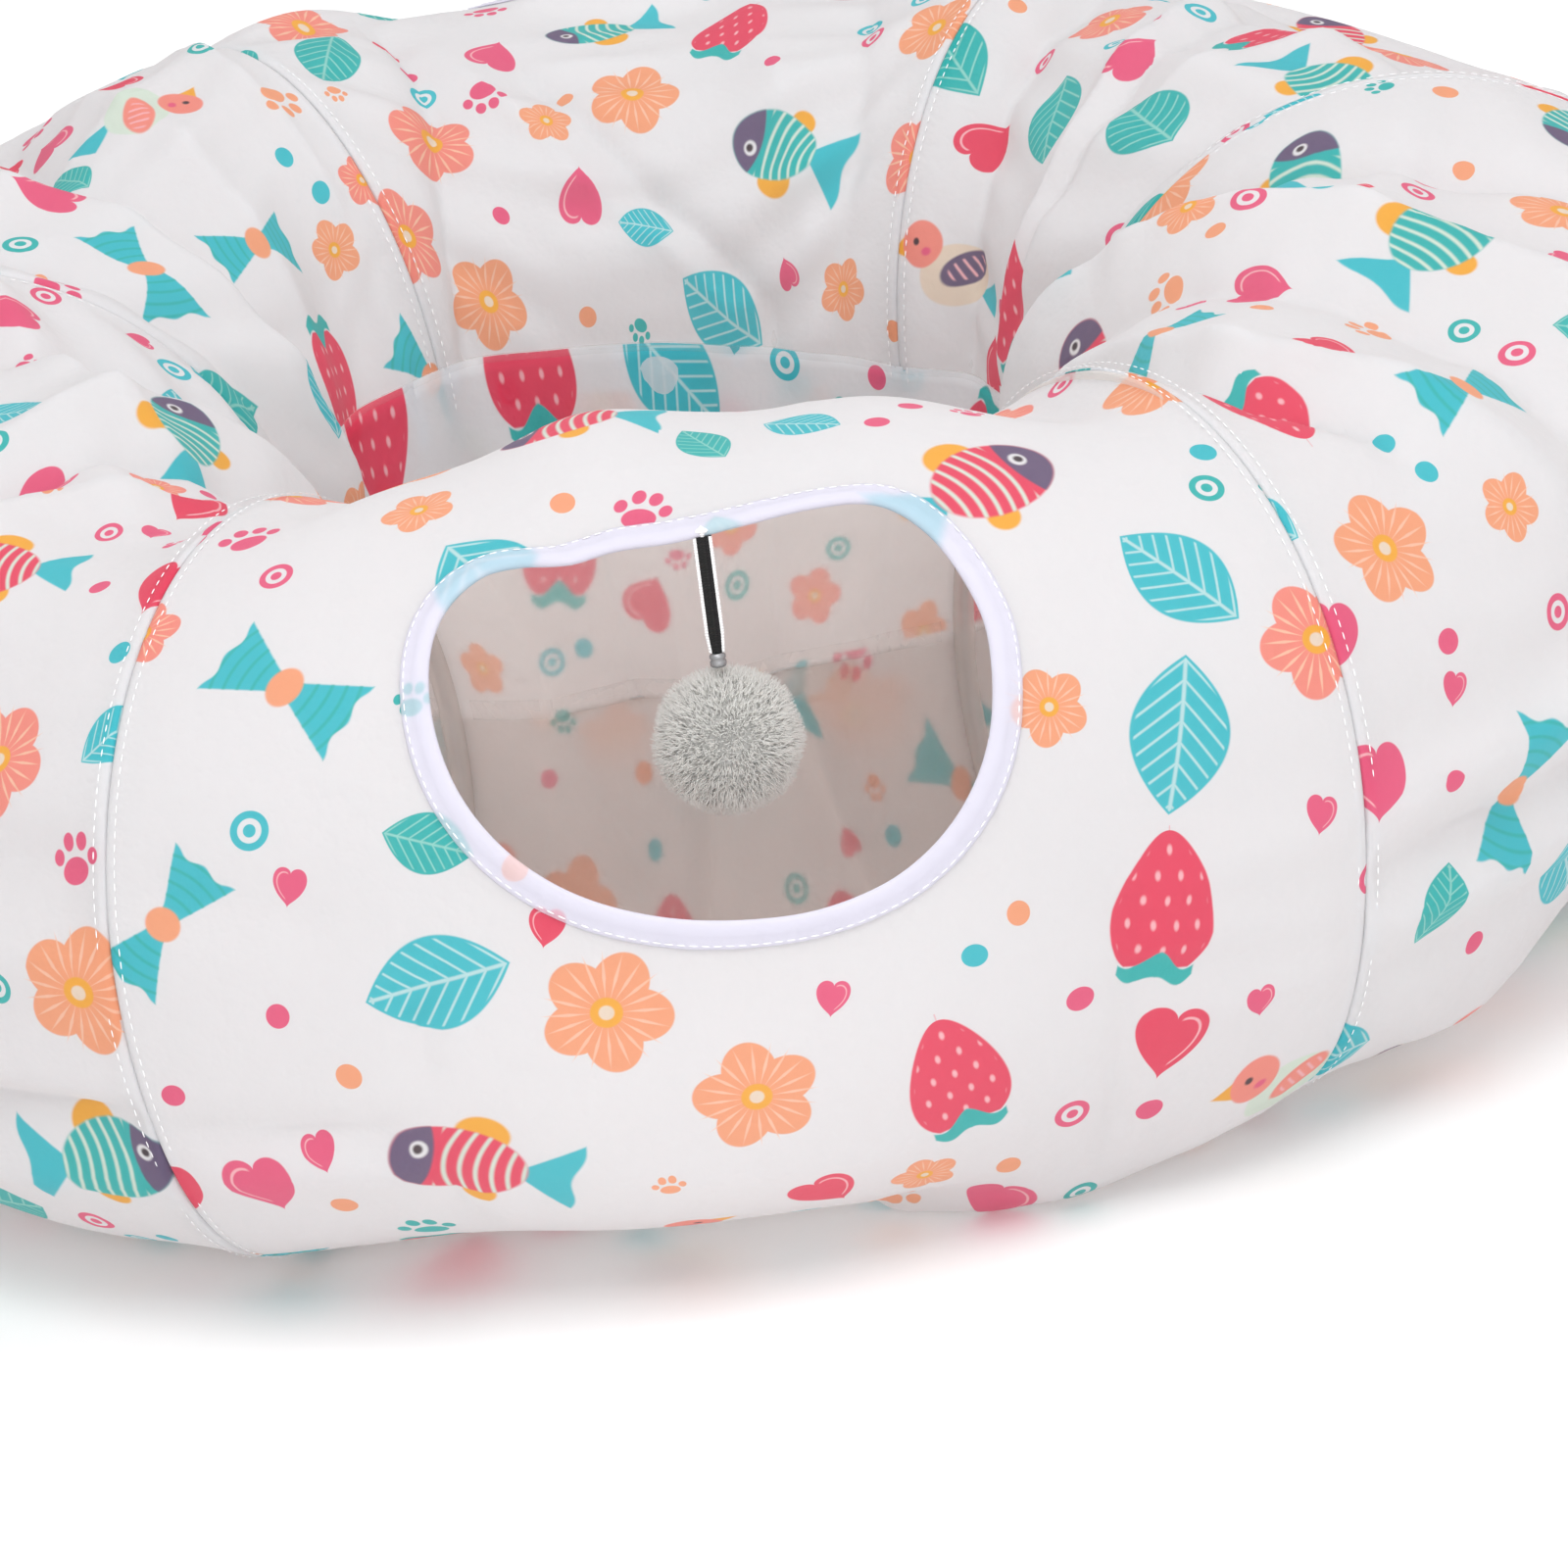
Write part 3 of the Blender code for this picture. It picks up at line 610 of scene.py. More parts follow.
def m_flower(T, x, y, v, u, col, w):
    a = y.op("ARCTAN2", x)
    r = ring_r(x, y)
    petal = T.mix(C["peach"], C["salmon"], v.over(0.62))
    col = T.mix(col, petal, T.cover(r - ((a * 2.5).cos().abs() * 0.27 + 0.68), w))
    vein = T.cover((a * 10).cos().abs() * 0.12 - 0.035 + (r - 0.52).abs() * 0.16 - 0.02, w)
    col = T.mix(col, srgb(255, 205, 178), vein)
    col = T.mix(col, C["yellow"], T.cover(r - 0.23, w))
    return T.mix(col, C["cream"], T.cover(r - 0.11, w))


def m_heart(T, x, y, v, u, col, w):
    yy = y * 1.06 + 0.16 - x.abs().sqrt() * 0.62
    base = T.mix(C["pink"], C["red"], v.over(0.6))
    f = ring_r(x * 1.06, yy) - 0.82
    inside = T.cover(f, w)
    col = T.mix(col, base, inside)
    shine = T.cover((f + 0.20).abs() - 0.028, w) * T.cover(x + 0.12, 0.05)
    return T.mix(col, C["blush"], shine * inside)


def m_leaf(T, x, y, v, u, col, w):
    half = (1 - x * x) * 0.66
    f = y.abs() - half
    inside = T.cover(f, w)
    base = T.mix(C["teal"], C["aqua"], v.over(0.55))
    col = T.mix(col, base, inside)
    rib = T.cover(y.abs() - 0.026, w)
    veins = line_mask(T, x + y.abs() * 0.9 + 0.1, 0.26, 0.022, w)
    light = T.mix(srgb(150, 222, 214), srgb(196, 236, 240), v.over(0.55))
    return T.mix(col, light, (rib.max(veins)) * T.cover(f + 0.05, w))


def m_bow(T, x, y, v, u, col, w):
    ax, ay = x.abs(), y.abs()
    f = (ay - (ax * 0.46 + 0.06)).max(ax - (0.86 + (y * 14).cos() * 0.035))
    inside = T.cover(f, w)
    col = T.mix(col, C["aqua"], inside)
    col = T.mix(col, C["teal"], line_mask(T, ax * 1.0 + ay * ay * 0.5, 0.17, 0.020, w) * inside)
    return T.mix(col, C["peach"], T.cover(ellipse(x, y, 0, 0, 0.20, 0.24), w))


def m_fish(T, x, y, v, u, col, w):
    tail = (y.abs() - (x - 0.34) * 0.78).max(x - (0.93 - (y * 9).cos() * 0.04))
    col = T.mix(col, C["aqua"], T.cover(tail, w))
    col = T.mix(col, C["yellow"], T.cover(ellipse(x, y, 0.0, 0.40, 0.26, 0.20), w))
    col = T.mix(col, C["yellow"], T.cover(ellipse(x, y, 0.08, -0.40, 0.16, 0.15), w))
    f = ellipse(x, y, -0.16, 0.0, 0.64, 0.42)
    body = T.cover(f, w)
    col = T.mix(col, T.mix(C["teal"], C["red"], v.over(0.58)), body)
    stripes = line_mask(T, x - y * y * 0.6, 0.15, 0.022, w) * T.cover(-0.36 - x, w)
    col = T.mix(col, C["mint"], stripes * body)
    col = T.mix(col, C["plum"], T.cover(x + 0.40 + y * y * 0.5, w) * body)
    col = T.mix(col, C["white"], T.cover(ellipse(x, y, -0.54, 0.08, 0.085, 0.085), w))
    return T.mix(col, C["ink"], T.cover(ellipse(x, y, -0.55, 0.08, 0.045, 0.045), w))


def m_bird(T, x, y, v, u, col, w):
    tail = ((y + 0.30 + x * 0.35).abs() - (x - 0.22) * 0.34).max(x - 0.92)
    col = T.mix(col, C["aqua"], T.cover(tail, w))
    beak = ((y - 0.30).abs() - (x + 0.92) * 0.5).max(x + 0.55)
    col = T.mix(col, C["yellow"], T.cover(beak, w))
    col = T.mix(col, T.mix(C["cream"], C["mint"], v.over(0.5)), T.cover(ellipse(x, y, 0.02, -0.14, 0.52, 0.40), w))
    col = T.mix(col, T.mix(C["salmon"], C["cream"], u.over(0.6)), T.cover(ellipse(x, y, -0.42, 0.30, 0.29, 0.29), w))
    col = T.mix(col, T.mix(C["plum"], C["salmon"], v.over(0.5)), T.cover(ellipse(x, y - x * 0.25, 0.14, -0.10, 0.34, 0.21), w))
    feather = line_mask(T, x + y * 0.5, 0.13, 0.018, w) * T.cover(ellipse(x, y - x * 0.25, 0.16, -0.10, 0.26, 0.14), w)
    col = T.mix(col, C["blush"], feather)
    col = T.mix(col, C["pink"], T.cover(ellipse(x, y, -0.36, 0.20, 0.07, 0.05), w))
    return T.mix(col, C["ink"], T.cover(ellipse(x, y, -0.50, 0.34, 0.045, 0.045), w))


def m_berry(T, x, y, v, u, col, w):
    yy = y + 0.08
    half = (1 - yy * yy).max(0.0).sqrt() * (0.66 + yy * 0.22)
    f = (x.abs() - half).max(yy - 0.86)
    inside = T.cover(f, w)
    col = T.mix(col, C["red"], inside)
    gx = ((x * 3.3 + (y * 3.0).op("FLOOR") * 0.5).frac() - 0.5) / 3.3
    gy = ((y * 3.0).frac() - 0.5) / 3.0
    seed = T.cover(ellipse(gx, gy, 0, 0, 0.034, 0.062), w)
    col = T.mix(col, C["blush"], seed * T.cover(f + 0.07, w))
    crown = ((y - 0.70) + (x * 9).cos() * 0.10 - 0.12).abs() - (0.20 - x.abs() * 0.25)
    return T.mix(col, C["teal"], T.cover(crown.max(x.abs() - 0.52), w))


def m_paw(T, x, y, v, u, col, w):
    f = ellipse(x, y, 0, -0.26, 0.50, 0.40)
    ax = x.abs()
    f = f.min(ellipse(ax, y, 0.66, 0.14, 0.19, 0.24)).min(ellipse(ax, y, 0.25, 0.56, 0.20, 0.26))
    base = T.mix(T.mix(C["peach"], C["teal"], v.over(0.4)), C["pink"], v.over(0.7))
    return T.mix(col, base, T.cover(f, w))


def m_ring(T, x, y, v, u, col, w):
    r = ring_r(x, y)
    base = T.mix(T.mix(C["aqua"], C["pink"], v.over(0.45)), C["teal"], v.over(0.75))
    col = T.mix(col, base, T.cover(r - 0.88, w))
    return T.mix(col, C["white"], T.cover((r - 0.42).abs() - 0.13, w))


def m_dot(T, x, y, v, u, col, w):
    base = T.mix(T.mix(C["peach"], C["pink"], v.over(0.5)), C["aqua"], v.over(0.8))
    return T.mix(col, base, T.cover(ring_r(x, y * 1.12) - 0.84, w))


MOTIFS = [("flower", m_flower), ("heart", m_heart), ("leaf", m_leaf), ("bow", m_bow), ("fish", m_fish), ("bird", m_bird), ("berry", m_berry), ("paw", m_paw), ("ring", m_ring), ("dot", m_dot)]
KIND = {n: i + 1 for i, (n, _) in enumerate(MOTIFS)}


def print_material(name, motif, side):
    """side 'out' is the printed face, 'in' its back, 'bind' the sheer tape over it."""
    T = Tree(name)
    ground = {"out": C["white"], "in": INSIDE, "bind": srgb(234, 232, 242)}[side]
    age = T.noise(5.5, 2.0, 0.5)
    base = T.mix(ground, tuple(c * 0.972 for c in ground[:3]) + (1,), age)
    col, through = base, base
    if motif is not None:
        x, y = T.uv("Motif")
        v, u = T.uv("Code")
        w = {"out": 0.018, "in": 0.16, "bind": 0.08}[side]
        col = motif(T, x, y, v, u, base, w)
        if side == "in":
            col = T.mix(base, col, 0.05)
        elif side == "bind":
            col = T.mix(base, col, 0.38)
        else:
            # the ink stands on one face only, so the light that comes through is paler
            through = T.mix(base, col, 0.72)
    cloth_shader(T, col, thin={"out": 0.58, "in": 0.82, "bind": 0.44}[side], crumple=0.40 if side != "bind" else 0.15, through=through)
    return T.mat


OUT_MATS = [print_material("print_plain", None, "out")] + [print_material("print_" + n, f, "out") for n, f in MOTIFS]
IN_MATS = [print_material("back_plain", None, "in")] + [print_material("back_" + n, f, "in") for n, f in MOTIFS]
BIND_MATS = [print_material("tape_plain", None, "bind")] + [print_material("tape_" + n, f, "bind") for n, f in MOTIFS]


def plain_material(name, colour, rough=0.7, metallic=0.0, sheen=0.0, spec=0.3, crumple=0.0, scale=300.0, thin=None, sheer=0.0):
    T = Tree(name)
    base = T.mix(colour, tuple(c * 0.9 for c in colour[:3]) + (1,), T.noise(60, 3.0, 0.5))
    if thin is not None:
        cloth_shader(T, base, thin=thin, rough=rough, crumple=crumple, sheer=sheer)
        return T.mat
    p = T.nt.nodes.new("ShaderNodeBsdfPrincipled")
    T.plug(base, p.inputs["Base Color"])
    p.inputs["Roughness"].default_value = rough
    p.inputs["Metallic"].default_value = metallic
    p.inputs["Specular IOR Level"].default_value = spec
    p.inputs["Sheen Weight"].default_value = sheen
    if crumple:
        T.nt.links.new(T.bump(T.noise(scale, 3.0, 0.6), crumple, 0.001), p.inputs["Normal"])
    T.nt.links.new(p.outputs[0], T.out.inputs[0])
    return T.mat


STEEL = plain_material("spring_steel", srgb(170, 172, 176), rough=0.32, metallic=1.0, crumple=0.1, scale=900)
THREAD = plain_material("white_thread", srgb(238, 238, 240), rough=0.6, sheen=0.2)
TAPE = plain_material("sheer_tape", srgb(251, 247, 244), rough=0.62, crumple=0.2, thin=0.60, sheer=0.88)
CASING = plain_material("casing_cloth", srgb(252, 247, 243), rough=0.70, crumple=0.2, thin=0.62, sheer=0.30)
BASE_CLOTH = plain_material("base_cloth", srgb(214, 208, 204), rough=0.9, sheen=0.15, crumple=0.5, scale=420)
WADDING = plain_material("wadding", srgb(240, 238, 232), rough=0.95, sheen=0.3, crumple=0.6, scale=200)
CRIMP = plain_material("clamp_metal", srgb(158, 158, 160), rough=0.42, metallic=0.8)


def elastic_material(name, colour):
    """Woven elastic, ribbed across."""
    T = Tree(name)
    p = T.nt.nodes.new("ShaderNodeBsdfPrincipled")
    sep = T.nt.nodes.new("ShaderNodeSeparateXYZ")
    T.nt.links.new(T.obj(), sep.inputs[0])
    x, z = Val(T, sep.outputs[0]), Val(T, sep.outputs[2])
    rib = (z * (2 * math.pi / 0.0009)).sin() * ((x * (2 * math.pi / 0.0012)).sin() * 0.5 + 1)
    col = T.mix(colour, tuple(min(1, c * 1.6 + 0.006) for c in colour[:3]) + (1,), T.noise(1400, 2.0, 0.5))
    T.plug(col, p.inputs["Base Color"])
    p.inputs["Roughness"].default_value = 0.72
    p.inputs["Specular IOR Level"].default_value = 0.25
    p.inputs["Sheen Weight"].default_value = 0.15
    T.nt.links.new(T.bump(rib, 0.6, 0.0002), p.inputs["Normal"])
    T.nt.links.new(p.outputs[0], T.out.inputs[0])
    return T.mat


ELASTIC_DARK = elastic_material("elastic_black", srgb(9, 8, 9))
ELASTIC_EDGE = elastic_material("elastic_white", srgb(236, 236, 238))


def plush_material():
    T = Tree("plush")
    p = T.nt.nodes.new("ShaderNodeBsdfPrincipled")
    t = T.nt.nodes.new("ShaderNodeBsdfTranslucent")
    m = T.nt.nodes.new("ShaderNodeMixShader")
    col = T.mix(srgb(255, 255, 254), srgb(254, 253, 250), T.noise(420, 2.0, 0.5))
    T.plug(col, p.inputs["Base Color"])
    T.plug(col, t.inputs["Color"])
    p.inputs["Roughness"].default_value = 0.85
    p.inputs["Specular IOR Level"].default_value = 0.15
    p.inputs["Sheen Weight"].default_value = 1.0
    p.inputs["Sheen Roughness"].default_value = 0.4
    m.inputs[0].default_value = 0.60
    T.nt.links.new(p.outputs[0], m.inputs[1])
    T.nt.links.new(t.outputs[0], m.inputs[2])
    T.nt.links.new(m.outputs[0], T.out.inputs[0])
    return T.mat


PLUSH = plush_material()


# ---------------------------------------------------------------- the print: where each motif sits on the cloth
def lay_print(sample, point, area, rng, clear=0.0036):
    """Scatters motifs of falling size. sample(rng) gives a place on the cloth as (a, b); point(a, b) its 3D point on the cut cloth."""
    plan = [
        ("fish", 0.0345, 22), ("bird", 0.0345, 20), ("bow", 0.0270, 20),
        ("flower", 0.0220, 44), ("berry", 0.0250, 26), ("leaf", 0.0240, 28),
        ("heart", 0.0145, 40), ("leaf", 0.0140, 24), ("flower", 0.0130, 34), ("paw", 0.0120, 26),
        ("ring", 0.0068, 90), ("dot", 0.0052, 90), ("paw", 0.0070, 30), ("heart", 0.0070, 40),
    ]
    got = []
    P, R = np.zeros((0, 3)), np.zeros(0)
    for kind, r, per in plan:
        want = int(round(per * area))
        for _ in range(want):
            for _try in range(160):
                a, b = sample(rng)
                p = point(a, b)
                rr = r * rng.uniform(0.93, 1.07)
                if (np.linalg.norm(P - p, axis=1) > rr + R + clear).all():
                    P, R = np.append(P, [p], axis=0), np.append(R, rr)
                    turn = rng.uniform(-0.5, 0.5) if kind in ("fish", "bird", "heart", "berry", "paw") else rng.uniform(-math.pi, math.pi)
                    if rng.uniform() < 0.3 and kind in ("fish", "bird", "berry"):
                        turn += math.pi
                    got.append(dict(kind=kind, r=rr, p=p, a=a, b=b, turn=turn, v=float(rng.uniform()), u=float(rng.uniform()), flip=rng.uniform() < 0.5))
                    break
    return got


def paint(me, rest, got, frame_of, side_of=None, offset=0):
    """Gives each face its nearest motif's material, and its corners that motif's own coordinates."""
    nf = len(me.polygons)
    start, total = np.zeros(nf, int), np.zeros(nf, int)
    me.polygons.foreach_get("loop_start", start)
    me.polygons.foreach_get("loop_total", total)
    lv = np.zeros(len(me.loops), int)
    me.loops.foreach_get("vertex_index", lv)
    centre = np.add.reduceat(rest[lv], start, axis=0) / total[:, None]
    Q = np.array([q["p"] for q in got])
    R = np.array([q["r"] for q in got])
    best, which = np.full(nf, 1e9), np.full(nf, -1)
    side = side_of(centre) if side_of else None
    for i in range(len(got)):
        d = np.linalg.norm(centre - Q[i], axis=1) - R[i]
        if side is not None:
            d = d + np.where(side == got[i]["side"], 0.0, 1.0)
        near = d < best
        best[near], which[near] = d[near], i
    which[best > 0.0045] = -1
    uv = np.full((len(me.loops), 2), 5.0, np.float32)
    code = np.zeros((len(me.loops), 2), np.float32)
    face_of = np.repeat(np.arange(nf), total)
    for i, q in enumerate(got):
        sel = which[face_of] == i
        if not sel.any():
            continue
        e1, e2 = frame_of(q)
        c, s = math.cos(q["turn"]), math.sin(q["turn"])
        rel = rest[lv[sel]] - q["p"]
        x, y = rel @ e1, rel @ e2
        x, y = x * c + y * s, -x * s + y * c
        if q["flip"]:
            x = -x
        uv[sel, 0], uv[sel, 1] = x / q["r"], y / q["r"]
        code[sel, 0], code[sel, 1] = q["v"], q["u"]
    a = me.uv_layers.new(name="Motif")
    a.data.foreach_set("uv", uv.ravel())
    b = me.uv_layers.new(name="Code")
    b.data.foreach_set("uv", code.ravel())
    kinds = np.array([KIND[q["kind"]] for q in got] + [0])
    me.polygons.foreach_set("material_index", (kinds[which] + offset).astype(np.int32))
    me.update()


# ---------------------------------------------------------------- drape the panels
grids, cloths = [], []
for k in range(6):
    g, ob = make_cloth(k)
    grids.append(g)
    cloths.append(ob)
scene.frame_set(1)
for f in range(1, FRAMES + 1):
    scene.frame_set(f)
dg = bpy.context.evaluated_depsgraph_get()
for g, ob in zip(grids, cloths):
    me = bpy.data.meshes.new_from_object(ob.evaluated_get(dg))
    co = coords(me)
    off = co - g["verts"]
    far = np.linalg.norm(off, axis=1, keepdims=True)
    cap = 0.022
    g["draped"] = g["verts"] + off * (cap * np.tanh(far / cap) / np.maximum(far, 1e-9))
    bpy.data.meshes.remove(me)
for ob in cloths:
    me = ob.data
    bpy.data.objects.remove(ob)
    bpy.data.meshes.remove(me)
scene.frame_set(1)
for g in grids:
    lift = relief(g, g["share"], g["ang"])
    g["sim"] = above_floor(g["draped"] + outward(g, g["share"], g["ang"]) * lift[:, None])


def grid_rest_frame(g):
    def frame_of(q):
        s, t = q["a"], q["b"]
        e = 1e-3
        p = g["rest_point"]
        a = unit(p(np.array(s + e), np.array(t)) - p(np.array(s - e), np.array(t)))
        b = unit(p(np.array(s), np.array(t + e)) - p(np.array(s), np.array(t - e)))
        return a, b
    return frame_of


def panel_piece(g):
    name = PANELS[g["k"]]
    base = mesh_object("tmp_" + name, g["draped"], g["faces"])
    md = base.modifiers.new("s", "SUBSURF")
    md.levels = md.render_levels = 1
    me = evaluated_mesh(base)
    restob = mesh_object("tmpr_" + name, g["rest"], g["faces"])
    md = restob.modifiers.new("s", "SUBSURF")
    md.levels = md.render_levels = 1
    rme = evaluated_mesh(restob)
    rest = coords(rme)
    for o in (base, restob):
        bpy.data.objects.remove(o)
    bpy.data.meshes.remove(rme)
    rng = np.random.default_rng(700 + g["k"] * 13)
    Rr, beta = g["Rr"], g["beta"]

    # the gathers and folds go on at the finer spacing
    share_f = np.arctan2(rest[:, 0], -rest[:, 1]) / beta + 0.5
    ang_f = np.mod(np.arctan2(rest[:, 2] - MID_Z, np.hypot(rest[:, 0], rest[:, 1]) - Rr), 2 * math.pi)
    fine = above_floor(coords(me) + outward(g, share_f, ang_f) * relief(g, share_f, ang_f)[:, None])
    me.vertices.foreach_set("co", fine.astype(np.float32).ravel())
    me.update()

    def sample(r):
        while True:
            s, t = r.uniform(-0.02, 1.02), r.uniform(-math.pi, math.pi)
            if r.uniform() * (Rr + TUBE_R) < Rr + TUBE_R * math.cos(t):
                return s, t

    point = lambda s, t: g["rest_point"](np.array(s), np.array(t))
    area = 2 * math.pi * TUBE_R * Rr * beta
    got = lay_print(sample, point, area, rng)

    def side_of(c):
        return np.arctan2(c[:, 2] - MID_Z, np.hypot(c[:, 0], c[:, 1]) - Rr)

    g["got"], g["frame_of"] = got, grid_rest_frame(g)
    me.materials.clear()
    for m in OUT_MATS + IN_MATS:
        me.materials.append(m)
    paint_sides(me, rest, got, g["frame_of"], side_of)
    me.polygons.foreach_set("use_smooth", [True] * len(me.polygons))
    ob = collection_link(bpy.data.objects.new("cloth_panel_" + name, me))
    so = ob.modifiers.new("t", "SOLIDIFY")
    so.thickness, so.offset = CLOTH_T, -1
    so.use_even_offset = False
    so.material_offset = len(OUT_MATS)
    so.material_offset_rim = 0
    # Solidify goes against the normals: make sure that they point outwards
    c = coords(me)
    n = np.zeros(len(me.polygons) * 3, np.float32)
    me.polygons.foreach_get("normal", n)
    n = n.reshape(-1, 3)
    pc = np.zeros(len(me.polygons) * 3, np.float32)
    me.polygons.foreach_get("center", pc)
    pc = pc.reshape(-1, 3)
    axis = unit(pc * [1, 1, 0]) * 0.275 + np.array([0, 0, MID_Z])
    if ((pc - axis) * n).sum() < 0:
        me.flip_normals()
    apply_modifiers(ob)
    return ob


def paint_sides(me, rest, got, frame_of, angle_of):
    """As paint, but no motif crosses the lengthwise seam on the ring's inner side."""
    def side(c):
        return angle_of(c)
    nf = len(me.polygons)
    start, total = np.zeros(nf, int), np.zeros(nf, int)
    me.polygons.foreach_get("loop_start", start)
    me.polygons.foreach_get("loop_total", total)
    lv = np.zeros(len(me.loops), int)
    me.loops.foreach_get("vertex_index", lv)
    centre = np.add.reduceat(rest[lv], start, axis=0) / total[:, None]
    t = side(centre)
    best, which = np.full(nf, 1e9), np.full(nf, -1)
    for i, q in enumerate(got):
        d = np.linalg.norm(centre - q["p"], axis=1) - q["r"]
        d = d + np.where(np.abs(t - q["b"]) < math.pi, 0.0, 1.0)
        near = d < best
        best[near], which[near] = d[near], i
    which[best > 0.0045] = -1
    uv = np.full((len(me.loops), 2), 5.0, np.float32)
    code = np.zeros((len(me.loops), 2), np.float32)
    face_of = np.repeat(np.arange(nf), total)
    for i, q in enumerate(got):
        sel = which[face_of] == i
        if not sel.any():
            continue
        e1, e2 = frame_of(q)
        c, s = math.cos(q["turn"]), math.sin(q["turn"])
        rel = rest[lv[sel]] - q["p"]
        x, y = rel @ e1, rel @ e2
        x, y = x * c + y * s, -x * s + y * c
        if q["flip"]:
            x = -x
        uv[sel, 0], uv[sel, 1] = x / q["r"], y / q["r"]
        code[sel, 0], code[sel, 1] = q["v"], q["u"]
    me.uv_layers.new(name="Motif").data.foreach_set("uv", uv.ravel())
    me.uv_layers.new(name="Code").data.foreach_set("uv", code.ravel())
    kinds = np.array([KIND[q["kind"]] for q in got] + [0])
    me.polygons.foreach_set("material_index", kinds[which].astype(np.int32))
    me.update()


panels = {}
for g in grids:
    name = PANELS[g["k"]]
    ob = panel_piece(g)
    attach(ob, "tunnel")
    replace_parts(ob, "panel_" + name)
    panels[name] = ob
    length = g["length"]
    flat_w, flat_l = 2 * math.pi * TUBE_R, float(g["k_out"] * length[0])
    float(2 * math.pi * TUBE_R * g["Rr"] * g["beta"])
    "hoop_" + HOOP_NAMES[(g["k"] + 1) % 6]


# ---------------------------------------------------------------- bindings, stitches, tapes and casings
def sweep(profiles, closed=True, cap=False):
    """Quads over an array of loops (n, m, 3)."""
    n, m = profiles.shape[:2]
    faces = []
    for i in range(n if closed else n - 1):
        i2 = (i + 1) % n
        for j in range(m):
            j2 = (j + 1) % m
            faces.append((i * m + j, i * m + j2, i2 * m + j2, i2 * m + j))
    if cap and not closed:
        faces.append(tuple(range(m)))
        faces.append(tuple((n - 1) * m + j for j in reversed(range(m))))
    return profiles.reshape(-1, 3), faces


def stitch_mesh(points, along, up, length, width, height):
    """Small rounded stitches: one at each point."""
    seg, rng_ = 6, 4
    tv, tf = [], []
    for a in range(rng_ + 1):
        ph = math.pi * a / rng_
        for b in range(seg):
            ps = 2 * math.pi * b / seg
            tv.append((math.cos(ph) * length / 2, math.sin(ph) * math.cos(ps) * width / 2, math.sin(ph) * math.sin(ps) * height / 2))
    tv = np.array(tv)
    for a in range(rng_):
        for b in range(seg):
            b2 = (b + 1) % seg
            if a == 0:
                tf.append((0, (a + 1) * seg + b, (a + 1) * seg + b2))
            elif a == rng_ - 1:
                tf.append((a * seg + b, rng_ * seg, a * seg + b2))
            else:
                tf.append((a * seg + b, (a + 1) * seg + b, (a + 1) * seg + b2, a * seg + b2))
    used = sorted(set(i for f in tf for i in f))
    back = {u: i for i, u in enumerate(used)}
    tv = tv[used]
    tf = [tuple(back[i] for i in f) for f in tf]
    V, F = [], []
    for p, a, u in zip(points, along, up):
        s = np.cross(u, a)
        M = np.stack([a, s, u])
        V.append(tv @ M + p)
        F += [tuple(i + len(tv) * (len(V) - 1) for i in f) for f in tf]
    return np.concatenate(V), F


stitches = []


